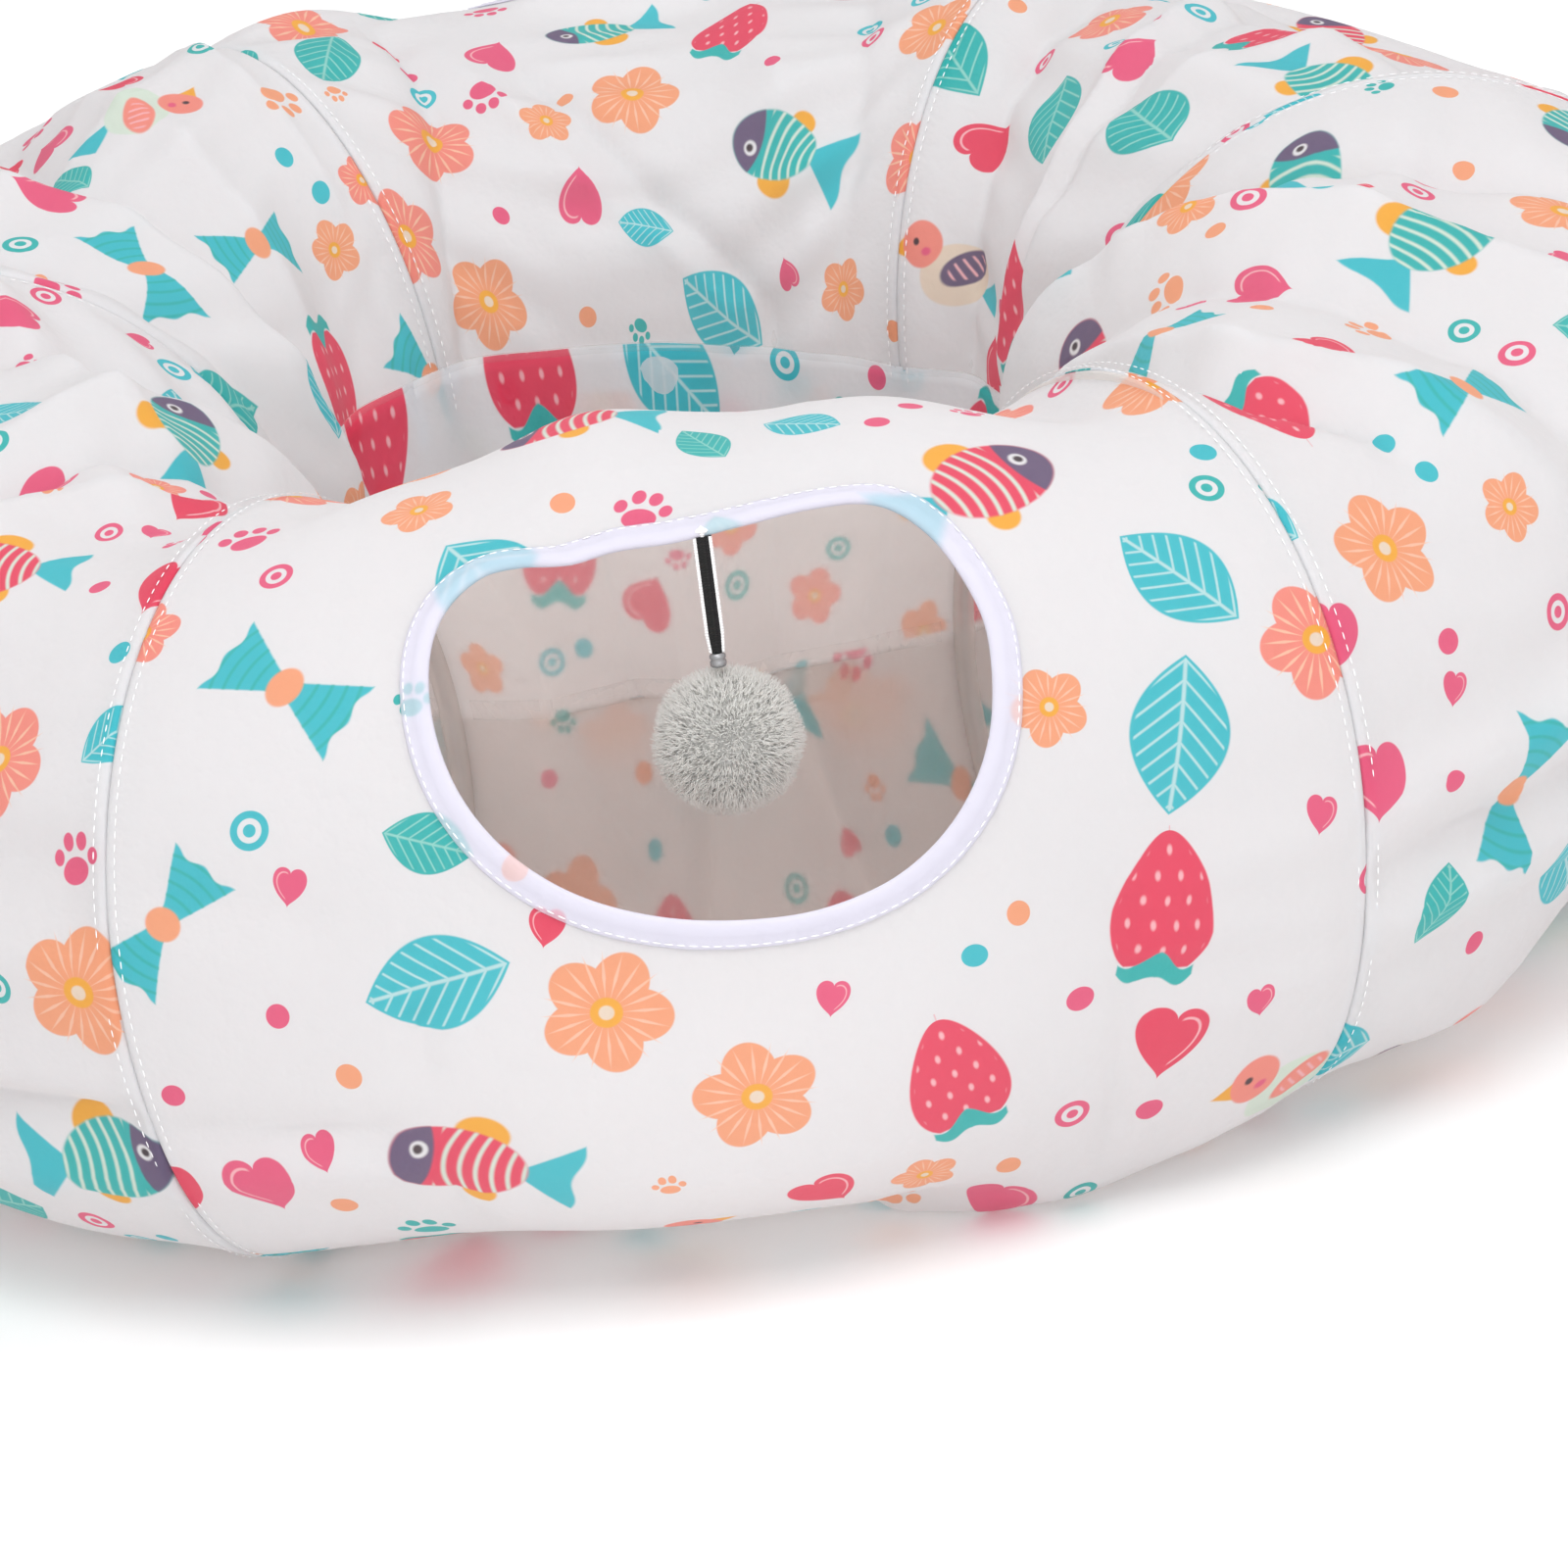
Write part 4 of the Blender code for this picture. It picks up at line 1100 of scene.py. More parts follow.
def binding(g):
    """White tape folded over the opening's edge, following the draped cloth."""
    name = PANELS[g["k"]]
    r9, r45, r0 = g["rings"][1], g["rings"][2], g["rings"][3]
    n = 264
    P9, P45, P0 = (closed_spline(g["sim"][r], n) for r in (r9, r45, r0))
    R9, R45, R0 = (closed_spline(g["rest"][r], n) for r in (r9, r45, r0))
    tan = unit(np.roll(P0, -1, 0) - np.roll(P0, 1, 0))
    across = P45 - P0
    across = unit(across - tan * (across * tan).sum(-1, keepdims=True))
    nrm = unit(np.cross(tan, across))
    mid = P0.mean(0)
    axis = unit(mid * [1, 1, 0]) * 0.275 + np.array([0, 0, MID_Z])
    nrm *= np.sign(((mid - axis) * nrm).sum())
    if (nrm @ unit(mid - axis) < 0).any():
        nrm = np.where((nrm @ unit(mid - axis))[:, None] < 0, -nrm, nrm)

    def at(q, h, W=None):
        u = np.clip(q / 0.009, 0, 1)
        p = (1 - u) * (1 - 2 * u) * P0 + 4 * u * (1 - u) * P45 + u * (2 * u - 1) * P9
        if q < 0:
            p = P0 + across * q
        return p + nrm * h

    def rest_at(q):
        u = np.clip(q / 0.009, 0, 1)
        p = (1 - u) * (1 - 2 * u) * R0 + 4 * u * (1 - u) * R45 + u * (2 * u - 1) * R9
        if q < 0:
            p = R0 + unit(R0 - R45) * (-q)
        return p

    rng = np.random.default_rng(91 + g["k"])
    a = np.arange(n) / n * 2 * math.pi
    pucker = sum(np.cos(a * f + rng.uniform(0, 6.28)) * rng.uniform(0.3, 1) for f in (17, 29, 41, 53, 67)) * 0.00012
    W = BIND_W
    prof = [(W, 0.15), (W - 0.0003, 0.75), (W - 0.0018, 1.02), (W - 0.0040, 0.92), (0.0028, 1.05), (0.0008, 1.35), (-0.0010, 1.15), (-0.0021, 0.45), (-0.0023, -0.5), (-0.0018, -1.5), (-0.0004, -2.0),
            (0.0020, -2.0), (W - 0.0040, -1.75), (W - 0.0016, -1.8), (W - 0.0004, -1.55), (W - 0.0002, -1.0),
            (W - 0.0018, -0.95), (0.0030, -0.95), (0.0004, -1.05), (-0.0012, -0.9), (-0.0015, -0.3), (-0.0012, 0.25), (0.0004, 0.42), (0.0030, 0.30), (W - 0.0020, 0.28)]
    loops = np.stack([at(q, (h * 0.001 + (pucker * (1 if h > 0.5 else 0)))[:, None] if isinstance(h * 0.001 + pucker, np.ndarray) else h * 0.001) for q, h in prof], 1)
    rests = np.stack([rest_at(q) for q, h in prof], 1)
    V, F = sweep(loops)
    ob = mesh_object(name + "_opening_tape", V, F, BIND_MATS)
    me = ob.data
    # normals outwards
    import bmesh
    bm = bmesh.new()
    bm.from_mesh(me)
    bmesh.ops.recalc_face_normals(bm, faces=bm.faces)
    bm.to_mesh(me)
    bm.free()
    Rr = g["Rr"]
    paint_sides(me, rests.reshape(-1, 3), g["got"], g["frame_of"], lambda c: np.arctan2(c[:, 2] - MID_Z, np.hypot(c[:, 0], c[:, 1]) - Rr))
    me.polygons.foreach_set("use_smooth", [True] * len(me.polygons))
    # stitches along the tape's outer edge, on both faces
    for q, h in ((W - 0.0014, 1.10), (W - 0.0014, -1.95)):
        line = at(q, h * 0.001)
        seg = np.linalg.norm(np.roll(line, -1, 0) - line, axis=1)
        total = seg.sum()
        m = int(total / 0.0036)
        cum = np.concatenate([[0], np.cumsum(seg)])
        want = (np.arange(m) + 0.5) / m * total
        pos = np.stack([np.interp(want, cum, np.append(line[:, c], line[0, c])) for c in range(3)], 1)
        up = np.stack([np.interp(want, cum, np.append(nrm[:, c], nrm[0, c])) for c in range(3)], 1)
        al = unit(np.roll(pos, -1, 0) - np.roll(pos, 1, 0))
        up = unit(up - al * (up * al).sum(-1, keepdims=True)) * (1 if h > 0 else -1)
        stitches.append(stitch_mesh(pos, al, up, 0.0027, 0.00055, 0.0004))
    g["bind"] = dict(P0=P0, nrm=nrm, across=across)
    return ob


for g in grids:
    if g["opening"]:
        name = PANELS[g["k"]]
        ob = binding(g)
        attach(ob, "tunnel")
        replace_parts(ob, name + "_opening_binding")

# stitches along each hoop, on both sides of its seam
for k, H in enumerate(hoops):
    for sgn, ph in ((1, 0.0), (-1, 0.5)):
        m = 190
        th = (np.arange(m) + ph) / m * 2 * math.pi
        r = np.full(m, TUBE_R + 0.00012)
        pos = H.at(th, r, np.full(m, sgn * 0.0036))
        pos[:, 2] = np.maximum(pos[:, 2], 0.0004)
        al = unit(H.at(th + 0.01, r, np.full(m, sgn * 0.0036)) - H.at(th - 0.01, r, np.full(m, sgn * 0.0036)))
        up = unit(H.at(th, r + 0.01, np.full(m, sgn * 0.0036)) - H.at(th, r, np.full(m, sgn * 0.0036)))
        keep = pos[:, 2] > 0.0015
        stitches.append(stitch_mesh(pos[keep], al[keep], up[keep], 0.0026, 0.0005, 0.00035))
V, F, base_n = [], [], 0
for v, f in stitches:
    V.append(v)
    F += [tuple(i + base_n for i in x) for x in f]
    base_n += len(v)
thread = mesh_object("seam_stitches", np.concatenate(V), F, [THREAD])
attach(thread, "tunnel")


def torus_mesh(H, ring, r, n=120, m=8, gap=0.0):
    th = np.arange(n) / n * 2 * math.pi
    ps = np.arange(m) / m * 2 * math.pi
    loops = np.stack([H.at(th, np.full(n, ring) + r * np.cos(p), np.full(n, r * math.sin(p))) for p in ps], 1)
    return sweep(loops)


for k, H in enumerate(hoops):
    hn = HOOP_NAMES[k]
    V, F = torus_mesh(H, WIRE_RING, WIRE_R)
    ob = mesh_object("hoop_wire_" + hn, V, F, [STEEL])
    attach(ob, "tunnel"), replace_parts(ob, "hoop_" + hn), ob
    # sleeve, pressed flat in two places
    th = np.linspace(-0.084, 0.084, 25) + math.pi * 1.25
    m = 14
    ps = np.arange(m) / m * 2 * math.pi
    x = np.linspace(-1, 1, 25)
    rad = 0.0019 - 0.0004 * (np.exp(-((x - 0.45) / 0.14) ** 2) + np.exp(-((x + 0.45) / 0.14) ** 2)) - 0.0005 * (np.abs(x) > 0.97)
    loops = np.stack([H.at(th, WIRE_RING + rad * np.cos(p), rad * math.sin(p)) for p in ps], 1)
    V, F = sweep(loops, closed=False, cap=True)
    ob = mesh_object("hoop_ferrule_" + hn, V, F, [STEEL])
    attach(ob, "tunnel"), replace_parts(ob, "hoop_sleeve_" + hn), ob
    # casing: a tape channel round the wire, sewn to both panels
    n = 240
    th = np.arange(n) / n * 2 * math.pi
    pucker = 0.00016 * np.cos(th * 95) + 0.0002 * np.cos(th * 23 + k) + 0.00015 * np.cos(th * 37 + 2 * k)
    prof = [(-0.0034, 0.1221), (-0.0031, 0.1196), (-0.0026, 0.1180), (-0.0013, 0.1171), (0.0, 0.1168), (0.0013, 0.1171), (0.0026, 0.1180), (0.0031, 0.1196), (0.0034, 0.1221), (0.0020, 0.12235), (0, 0.1222), (-0.0020, 0.12235)]
    loops = np.stack([H.at(th, np.full(n, r) + (pucker if r < 0.121 else 0), np.full(n, d)) for d, r in prof], 1)
    V, F = sweep(loops)
    ob = mesh_object("casing_tape_" + hn, V, F, [CASING])
    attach(ob, "tunnel"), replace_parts(ob, "hoop_casing_" + hn), ob

# tape over the lengthwise seam, inside the tube
for g in grids:
    name = PANELS[g["k"]]
    idx, sim = g["idx"], g["sim"]
    j = ROWS // 2
    cols = range(3, g["nc"] - 3)
    mid = np.array([sim[idx[i, j]] for i in cols])
    hi = np.array([sim[idx[i, j - 1]] for i in cols])
    lo = np.array([sim[idx[i, j + 1]] for i in cols])
    al = unit(np.gradient(mid, axis=0))
    ac = unit(hi - lo)
    inn = unit(np.cross(al, ac))
    axis = unit(mid * [1, 1, 0]) * 0.275 + np.array([0, 0, MID_Z])
    inn *= np.sign(((axis - mid) * inn).sum(-1))[:, None]
    f = 0.0036 / np.linalg.norm(hi - mid, axis=1, keepdims=True)
    f2 = 0.0036 / np.linalg.norm(lo - mid, axis=1, keepdims=True)
    a, b = mid + (hi - mid) * f, mid + (lo - mid) * f2
    d0, d1 = inn * (CLOTH_T + 0.00005), inn * (CLOTH_T + 0.0003)
    loops = np.stack([a + d0, mid + d0, b + d0, b + d1, mid + d1 + inn * 0.0001, a + d1], 1)
    V, F = sweep(loops, closed=False, cap=True)
    ob = mesh_object("inner_tape_" + name, V, F, [TAPE])
    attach(ob, "tunnel"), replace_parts(ob, "seam_tape_" + name), ob

# ---------------------------------------------------------------- the mat in the middle
seam_pts = []
for g in grids:
    idx, sim = g["idx"], g["sim"]
    for i in range(0, g["nc"]):
        seam_pts.append(sim[idx[i, ROWS // 2 + 1]] * 0.35 + sim[idx[i, ROWS // 2]] * 0.65)
seam_pts = np.array(seam_pts)
az = np.mod(np.arctan2(seam_pts[:, 0], -seam_pts[:, 1]), 2 * math.pi)
order = np.argsort(az)
az_s, rho_s, z_s = az[order], np.hypot(seam_pts[order, 0], seam_pts[order, 1]), seam_pts[order, 2]
NA = 240
maz = np.arange(NA) / NA * 2 * math.pi
wrap = lambda v: np.interp(maz, np.concatenate([az_s - 2 * math.pi, az_s, az_s + 2 * math.pi]), np.tile(v, 3))
rim_rho, rim_z = wrap(rho_s), wrap(z_s)
for _ in range(3):
    rim_rho = (np.roll(rim_rho, 1) + rim_rho + np.roll(rim_rho, -1)) / 3
    rim_z = (np.roll(rim_z, 1) + rim_z + np.roll(rim_z, -1)) / 3
rim_rho = rim_rho - 0.0010
PROF = np.array([(0.1484, 0.1235), (0.1465, 0.112), (0.1425, 0.092), (0.1345, 0.070), (0.1235, 0.050), (0.1135, 0.034), (0.1050, 0.0245), (0.0975, 0.0205), (0.092, 0.0215), (0.080, 0.0236), (0.060, 0.0242), (0.040, 0.0240), (0.020, 0.0238), (0.004, 0.0237)])
tt = np.linspace(0, 1, 44)
seglen = np.concatenate([[0], np.cumsum(np.linalg.norm(np.diff(PROF, axis=0), axis=1))])
seglen /= seglen[-1]
prho, pz = np.interp(tt, seglen, PROF[:, 0]), np.interp(tt, seglen, PROF[:, 1])
for _ in range(2):
    prho[1:-1] = (prho[:-2] + 2 * prho[1:-1] + prho[2:]) / 4
    pz[1:-1] = (pz[:-2] + 2 * pz[1:-1] + pz[2:]) / 4
rng = np.random.default_rng(404)
fold = np.zeros((len(tt), NA))
for f in (7, 11, 13, 17, 19, 23, 29, 31, 37):
    ph, tw = rng.uniform(0, 6.28), rng.uniform(-2.2, 2.2)
    fold += np.cos(f * maz[None, :] + ph + tw * tt[:, None]) * rng.uniform(0.4, 1) * (17 / f) ** 0.55
fold /= 3.0
wall = np.exp(-(((tt - 0.36) / 0.17) ** 2))
crease = np.exp(-(((tt - 0.52) / 0.07) ** 2))
follow = np.clip(1 - tt / 0.42, 0, 1) ** 1.5
pad_wave = np.clip((tt - 0.55) / 0.1, 0, 1) * np.clip((1 - tt) / 0.2, 0, 1)
R2 = prho[:, None] + (rim_rho - 0.1484)[None, :] * follow[:, None] + fold * (0.0042 * wall + 0.0020 * crease)[:, None]
Z2 = pz[:, None] + (rim_z - 0.1235)[None, :] * follow[:, None] + fold * (0.0006 * pad_wave + 0.0016 * crease)[:, None]
mv = np.stack([R2 * np.sin(maz)[None], -R2 * np.cos(maz)[None], Z2], -1)
mrest = np.stack([prho[:, None] * np.sin(maz)[None], -prho[:, None] * np.cos(maz)[None], pz[:, None] + 0 * maz[None]], -1)
V = np.concatenate([mv.reshape(-1, 3), [[0, 0, 0.0237]]])
Vr = np.concatenate([mrest.reshape(-1, 3), [[0, 0, 0.0237]]])
F = []
for i in range(len(tt) - 1):
    for j in range(NA):
        j2 = (j + 1) % NA
        F.append((i * NA + j, (i + 1) * NA + j, (i + 1) * NA + j2, i * NA + j2))
for j in range(NA):
    F.append(((len(tt) - 1) * NA + j, len(V) - 1, (len(tt) - 1) * NA + (j + 1) % NA))
mat_top = mesh_object("mat_cloth", V, F, OUT_MATS + IN_MATS)


def mat_point(t, a):
    r, z = np.interp(t, tt, prho), np.interp(t, tt, pz)
    return np.array([r * math.sin(a), -r * math.cos(a), z])


def mat_sample(r):
    while True:
        t, a = r.uniform(0, 1), r.uniform(0, 2 * math.pi)
        if r.uniform() * 0.15 < np.interp(t, tt, prho):
            return t, a


mat_area = float(sum(math.pi * (prho[i] + prho[i + 1]) * math.hypot(prho[i + 1] - prho[i], pz[i + 1] - pz[i]) for i in range(len(tt) - 1)))
mat_got = lay_print(mat_sample, mat_point, mat_area, np.random.default_rng(55))


def mat_frame(q):
    e = 1e-3
    t, a = q["a"], q["b"]
    u = unit(mat_point(min(t + e, 1), a) - mat_point(max(t - e, 0), a))
    v = unit(mat_point(t, a + 0.02) - mat_point(t, a - 0.02))
    return v, -u


paint(mat_top.data, Vr, mat_got, mat_frame)
n0 = mat_top.data.polygons[0].normal
if n0.dot(Vector((mv[0, 0, 0], mv[0, 0, 1], 0))) > 0:
    mat_top.data.flip_normals()
so = mat_top.modifiers.new("t", "SOLIDIFY")
so.thickness, so.offset, so.material_offset = 0.0008, -1, len(OUT_MATS)
so.use_even_offset = False
apply_modifiers(mat_top)
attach(mat_top, "tunnel"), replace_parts(mat_top, "mat_top_sheet"), mat_top

# hem where the mat's side meets the tube, under the lengthwise seam
n = NA
hem_r, hem_z = rim_rho, rim_z
prof = [(-0.0002, 0.0008), (-0.0006, 0.0003), (-0.0007, -0.0012), (-0.0006, -0.0024), (-0.0003, -0.0028), (-0.0001, -0.0022), (-0.0001, -0.0010), (0.0001, 0.0000), (0.0002, 0.0006)]
wob = 0.0001 * np.cos(maz * 61) + 0.00012 * np.cos(maz * 97 + 1)
loops = np.stack([np.stack([(hem_r + dr + (wob if dr < -0.001 else 0)) * np.sin(maz), -(hem_r + dr + (wob if dr < -0.001 else 0)) * np.cos(maz), hem_z + dz], -1) for dr, dz in prof], 1)
V, F = sweep(loops)
hem = mesh_object("mat_hem", V, F, [TAPE])
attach(hem, "tunnel"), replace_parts(hem, "mat_seam_binding"), hem

# pad: a soft disc
pr = [(0.0, 0.0030), (0.060, 0.0030), (0.085, 0.0030), (0.0915, 0.0048), (0.0935, 0.0085), (0.0925, 0.0130), (0.089, 0.0172), (0.080, 0.0194), (0.060, 0.0200), (0.030, 0.0199), (0.0, 0.0198)]
loops = []
NP = 72
pa = np.arange(NP) / NP * 2 * math.pi
V = [[0, 0, pr[0][1]]]
for r, z in pr[1:-1]:
    w = 1 + 0.006 * np.cos(5 * pa) + 0.004 * np.cos(9 * pa + 1)
    V += [[r * w[i] * math.sin(pa[i]), -r * w[i] * math.cos(pa[i]), z + (0.0004 * math.cos(7 * pa[i] + r * 60) if z > 0.012 else 0)] for i in range(NP)]
V.append([0, 0, pr[-1][1]])
F = [(0, 1 + (j + 1) % NP, 1 + j) for j in range(NP)]
nr = len(pr) - 2
for i in range(nr - 1):
    for j in range(NP):
        j2 = (j + 1) % NP
        F.append((1 + i * NP + j, 1 + i * NP + j2, 1 + (i + 1) * NP + j2, 1 + (i + 1) * NP + j))
F += [(1 + (nr - 1) * NP + j, 1 + (nr - 1) * NP + (j + 1) % NP, len(V) - 1) for j in range(NP)]
pad = mesh_object("mat_padding", V, F, [WADDING])
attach(pad, "tunnel"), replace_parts(pad, "mat_pad"), pad

# base sheet
NB = 120
ba = np.arange(NB) / NB * 2 * math.pi
rings_ = [0.02, 0.045, 0.07, 0.088, 0.097, 0.1005, 0.1015]
V = [[0, 0, 0.0013]]
for r in rings_:
    V += [[r * math.sin(a), -r * math.cos(a), 0.0012 + (0.0007 * (r > 0.1) + 0.00012 * math.cos(11 * a + r * 90) * (r < 0.1))] for a in ba]
F = [(0, 1 + j, 1 + (j + 1) % NB) for j in range(NB)]
for i in range(len(rings_) - 1):
    for j in range(NB):
        j2 = (j + 1) % NB
        F.append((1 + i * NB + j, 1 + (i + 1) * NB + j, 1 + (i + 1) * NB + j2, 1 + i * NB + j2))
base_sheet = mesh_object("mat_underside", V, F, [BASE_CLOTH])
so = base_sheet.modifiers.new("t", "SOLIDIFY")
so.thickness, so.offset = 0.0010, 0
so.use_even_offset = False
apply_modifiers(base_sheet)
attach(base_sheet, "tunnel"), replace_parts(base_sheet, "mat_base_sheet"), base_sheet

# ---------------------------------------------------------------- the toy
PIV = np.array([0.0, -0.3175, 0.2362])
BALL = np.array([0.0, -0.3175, 0.1680])
BALL_R = 0.0236
TOP_Z, LOW_Z = 0.2344, 0.1968


def elastic():
    """A flat woven elastic with a dark middle and white edges."""
    xs = [-0.0029, -0.0027, -0.0019, -0.0017, -0.0008, 0.0008, 0.0017, 0.0019, 0.0027, 0.0029]
    th = [0.0003, 0.0005, 0.00052, 0.00060, 0.00060, 0.00060, 0.00060, 0.00052, 0.0005, 0.0003]
    zs = np.linspace(TOP_Z, LOW_Z, 90)
    loops = []
    for i, z in enumerate(zs):
        rib = 0.00005 * math.cos(i * math.pi)
        end = min(1.0, min(i, len(zs) - 1 - i) / 4)
        nar = 0.80 + 0.20 * min(1.0, (len(zs) - 1 - i) / 14)
        top = [(x * nar, -(t + rib) * 1.0) for x, t in zip(xs, th)]
        bot = [(x * nar, (t + rib) * 1.0) for x, t in zip(reversed(xs), reversed(th))]
        bow = 0.0004 * math.sin((z - LOW_Z) / (TOP_Z - LOW_Z) * math.pi)
        loops.append([(PIV[0] + x, PIV[1] + y + bow, z) for x, y in top + bot])
    loops = np.array(loops)
    V, F = sweep(loops, closed=False, cap=True)
    ob = mesh_object("toy_band", V, F, [ELASTIC_DARK, ELASTIC_EDGE])
    me = ob.data
    import bmesh
    bm = bmesh.new()
    bm.from_mesh(me)
    bmesh.ops.recalc_face_normals(bm, faces=bm.faces)
    bm.to_mesh(me)
    bm.free()
    pc = np.zeros(len(me.polygons) * 3, np.float32)
    me.polygons.foreach_get("center", pc)
    pc = pc.reshape(-1, 3)
    nar = 0.80 + 0.20 * np.clip((pc[:, 2] - LOW_Z) / ((TOP_Z - LOW_Z) * 14 / 89), 0, 1)
    me.polygons.foreach_set("material_index", (np.abs(pc[:, 0]) > 0.0021 * nar).astype(np.int32))
    return ob


band = elastic()
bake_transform(band)
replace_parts(band, "toy_elastic")

knot_v, knot_f = stitch_mesh([PIV, PIV + [0, 0.0002, -0.0004]], [np.array([1.0, 0, 0]), np.array([0, 0, 1.0])], [np.array([0, 0, 1.0]), np.array([0, 1.0, 0])], 0.0042, 0.0022, 0.0020)
knot = mesh_object("toy_sewn_end", knot_v, knot_f, [ELASTIC_EDGE])
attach(knot, "toy_anchor"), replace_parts(knot, "toy_anchor_knot"), knot

# clamp at the elastic's lower end
n = 20
zs = [0.1966, 0.1964, 0.1960, 0.1952, 0.1946, 0.1940, 0.1932, 0.1926, 0.1923, 0.1921]
rs = [0.0014, 0.0021, 0.00245, 0.0025, 0.0021, 0.0025, 0.00252, 0.0024, 0.0020, 0.0012]
a = np.arange(n) / n * 2 * math.pi
loops = np.stack([np.stack([r * np.cos(a) * 1.02, PIV[1] + r * np.sin(a) * 0.72, np.full(n, z)], -1) for z, r in zip(zs, rs)], 0)
V, F = sweep(loops, closed=False, cap=True)
crimp = mesh_object("toy_clamp", V, F, [CRIMP])
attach(crimp, "toy_ball"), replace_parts(crimp, "toy_crimp"), crimp


def pompom():
    """A ball of clipped fibres."""
    rng = np.random.default_rng(8)
    V, F = [], []
    # core
    nu, nv = 28, 16
    core_r = 0.0196
    core = []
    for i in range(1, nv):
        for j in range(nu):
            p, q = math.pi * i / nv, 2 * math.pi * j / nu
            core.append((math.sin(p) * math.cos(q), math.sin(p) * math.sin(q), math.cos(p)))
    core = np.array(core) * core_r
    core = np.concatenate([core, [[0, 0, core_r], [0, 0, -core_r]]])
    for i in range(nv - 2):
        for j in range(nu):
            j2 = (j + 1) % nu
            F.append((i * nu + j, (i + 1) * nu + j, (i + 1) * nu + j2, i * nu + j2))
    for j in range(nu):
        F.append((len(core) - 2, j, (j + 1) % nu))
        F.append((len(core) - 1, (nv - 2) * nu + (j + 1) % nu, (nv - 2) * nu + j))
    V.append(core + BALL)
    base = len(core)
    count = 11500
    gold = math.pi * (3 - math.sqrt(5))
    i = np.arange(count)
    z = 1 - 2 * (i + 0.5) / count
    r = np.sqrt(1 - z * z)
    d = np.stack([r * np.cos(gold * i), r * np.sin(gold * i), z], -1)
    d = unit(d + rng.normal(0, 0.045, d.shape))
    # tufts: fibres lean towards a few hundred clump directions
    clumps = unit(rng.normal(0, 1, (260, 3)))
    near = np.argmax(d @ clumps.T, axis=1)
    lean = clumps[near] - d
    tip_r = BALL_R * (0.955 + 0.06 * rng.random(count) + 0.02 * np.sin(d[:, 0] * 9 + 1) * np.sin(d[:, 1] * 8) + 0.015 * np.cos(d[:, 2] * 11))
    side = unit(np.cross(d, rng.normal(0, 1, d.shape)))
    side2 = np.cross(d, side)
    bendv = side * rng.normal(0, 0.0016, count)[:, None] + lean * 0.0042
    steps = [(0.0, 0.00044), (0.6, 0.00036), (1.0, 0.00007)]
    rings = []
    for t, w in steps:
        c = d * (core_r * 0.93 + (tip_r - core_r * 0.93) * t)[:, None] + bendv * (t * t)
        nrm = np.linalg.norm(c, axis=1, keepdims=True)
        c = c * np.minimum(1, (BALL_R * 1.03) / nrm)
        rings.append([c + (side * math.cos(q) + side2 * math.sin(q)) * w * 0.5 for q in (0, 2.0944, 4.1888)])
    R = np.array(rings)                # steps, 3, count, 3
    R = R.transpose(2, 0, 1, 3).reshape(count, 9, 3) + BALL
    V.append(R.reshape(-1, 3))
    tmpl = [(0, 2, 1), (6, 7, 8)]
    for s in range(2):
        for q in range(3):
            q2 = (q + 1) % 3
            tmpl.append((s * 3 + q, s * 3 + q2, (s + 1) * 3 + q2, (s + 1) * 3 + q))
    for c in range(count):
        b = base + 9 * c
        F += [tuple(b + i for i in f) for f in tmpl]
    return mesh_object("toy_ball_plush", np.concatenate(V), F, [PLUSH])


pom = pompom()
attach(pom, "toy_ball"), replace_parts(pom, "toy_pompom"), pom

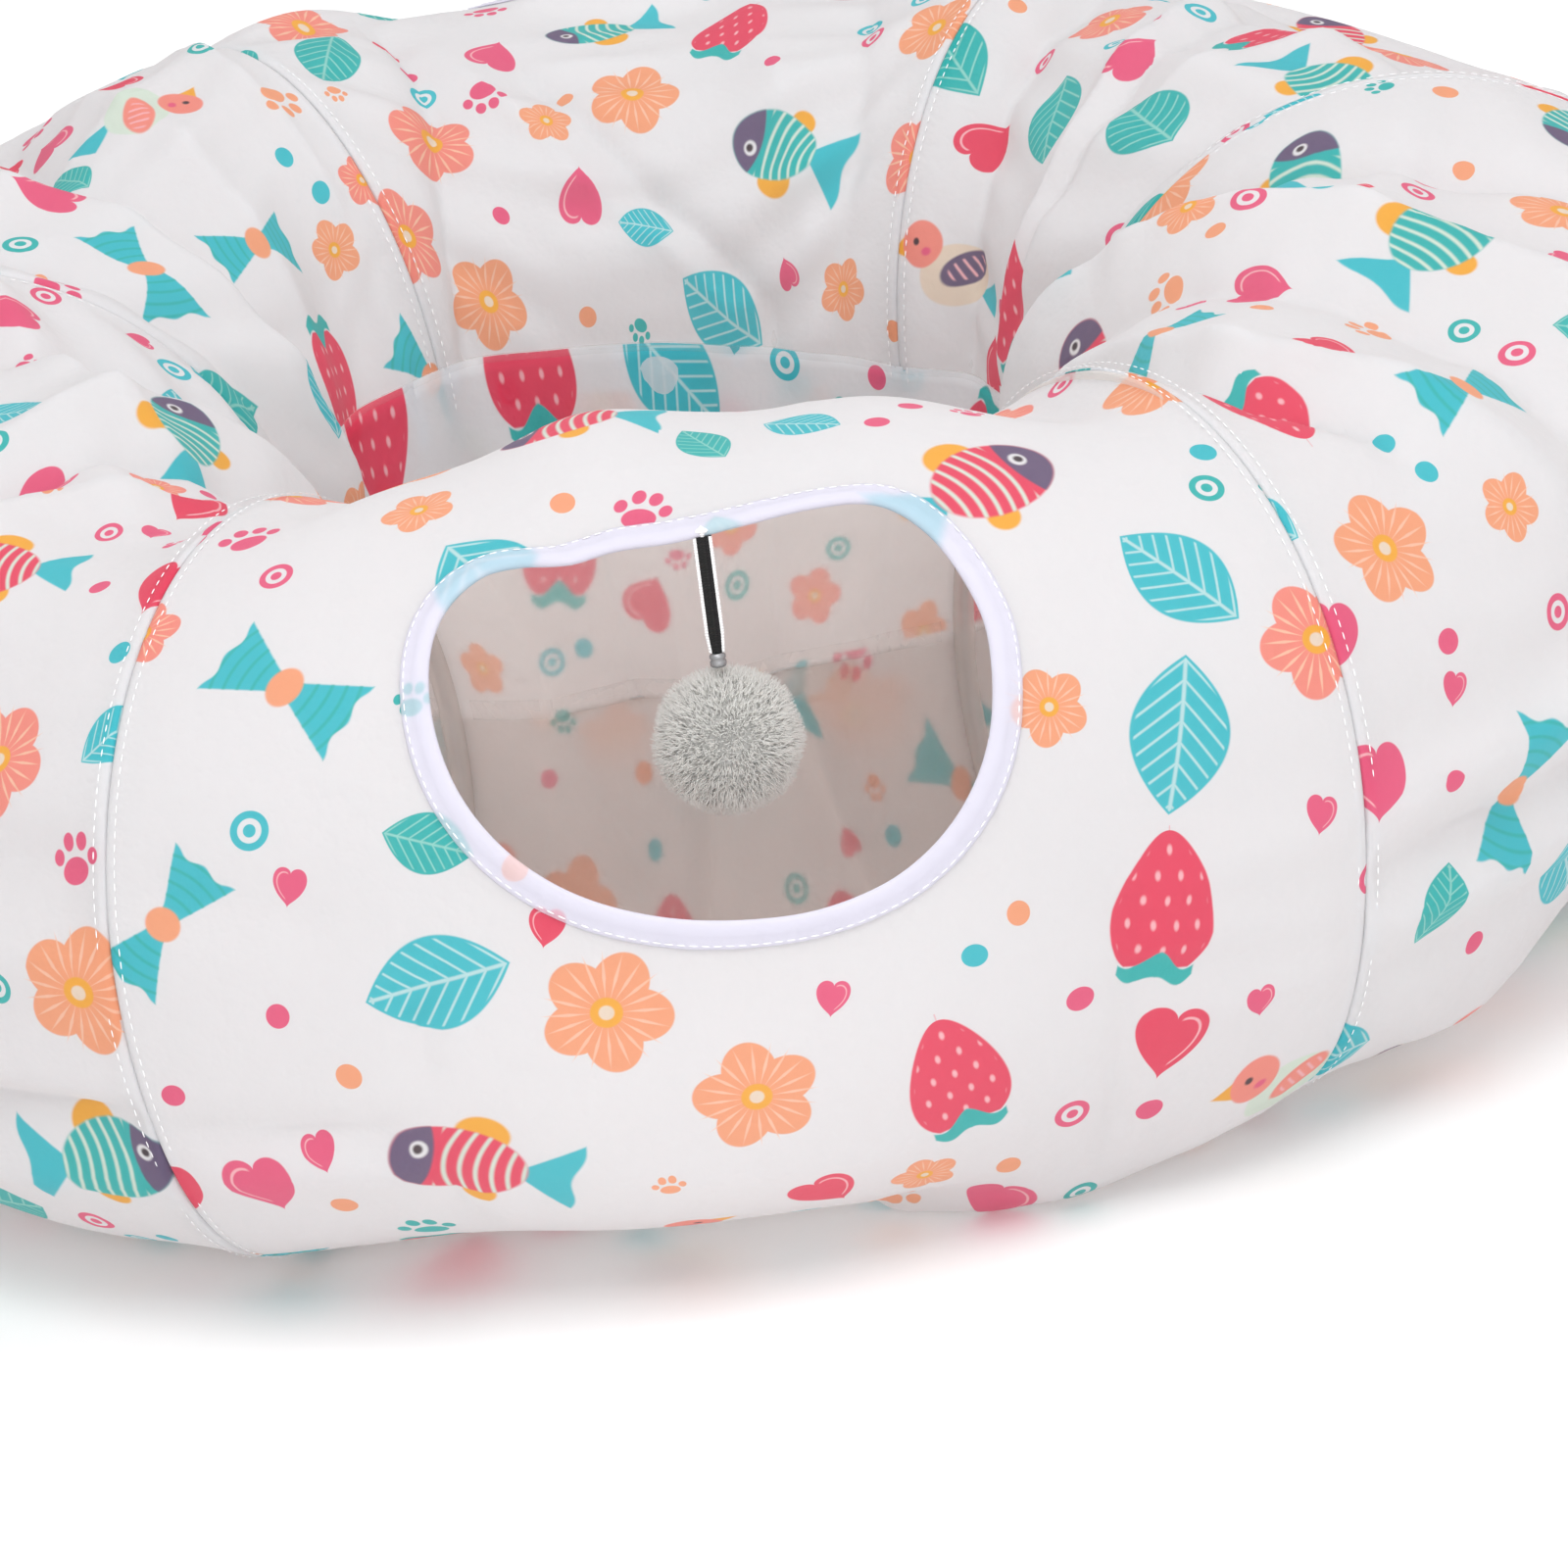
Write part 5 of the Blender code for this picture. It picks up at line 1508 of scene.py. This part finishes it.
# ---------------------------------------------------------------- floor, light and camera
floor_mat = bpy.data.materials.new("studio_floor")
floor_mat.use_nodes = True
fp = floor_mat.node_tree.nodes["Principled BSDF"]
fp.inputs["Base Color"].default_value = (0.93, 0.93, 0.93, 1)
fp.inputs["Roughness"].default_value = 1.0
fp.inputs["Specular IOR Level"].default_value = 0.0
floor = mesh_object("floor", [(-9, -9, 0), (9, -9, 0), (9, 9, 0), (-9, 9, 0)], [(0, 1, 2, 3)], [floor_mat], smooth=False)

world = bpy.data.worlds.new("studio")
scene.world = world
world.use_nodes = True
world.node_tree.nodes["Background"].inputs[0].default_value = (1.0, 1.0, 1.0, 1)
world.node_tree.nodes["Background"].inputs[1].default_value = 0.73


def area_light(name, loc, target, size, energy, colour=(1, 1, 1)):
    L = bpy.data.lights.new(name, "AREA")
    L.shape, L.size, L.energy, L.color = "SQUARE", size, energy, colour
    o = collection_link(bpy.data.objects.new(name, L))
    o.location = loc
    o.rotation_euler = (Vector(target) - Vector(loc)).to_track_quat("-Z", "Y").to_euler()
    return o


area_light("key", (-0.15, -1.6, 2.6), (0, 0, 0.1), 1.3, 33)
area_light("front", (0.25, -2.5, 0.95), (0, -0.2, 0.12), 0.9, 16)
area_light("fill", (1.9, -0.6, 1.7), (0, 0, 0.1), 1.8, 5)
area_light("top", (0.2, 0.5, 2.8), (0, 0, 0.1), 1.6, 29)

# the camera of the photograph
elev, dist, roll, azim, focal = 20.2 * D2R, 1.947, 7.5 * D2R, -0.65 * D2R, 5486.0
target = Vector((0, 0, 0.125))
back = Vector((math.sin(azim) * math.cos(elev), -math.cos(azim) * math.cos(elev), math.sin(elev)))
fwd = -back
right = fwd.cross(Vector((0, 0, 1))).normalized()
up = right.cross(fwd)
r2 = right * math.cos(roll) - up * math.sin(roll)
u2 = right * math.sin(roll) + up * math.cos(roll)
f3 = (fwd + r2 * ((800 - 700.9) / focal) - u2 * ((800 - 525.7) / focal)).normalized()
r3 = (r2 - f3 * r2.dot(f3)).normalized()
u3 = r3.cross(f3)
cam = bpy.data.cameras.new("camera")
cam.sensor_width, cam.lens = 36, focal / 1600 * 36
cam.clip_start, cam.clip_end = 0.05, 60
cam_ob = collection_link(bpy.data.objects.new("camera", cam))
mw = Matrix((r3, u3, -f3)).transposed().to_4x4()
mw.translation = target + dist * back
cam_ob.matrix_world = mw
scene.camera = cam_ob
scene.view_settings.view_transform = "Standard"
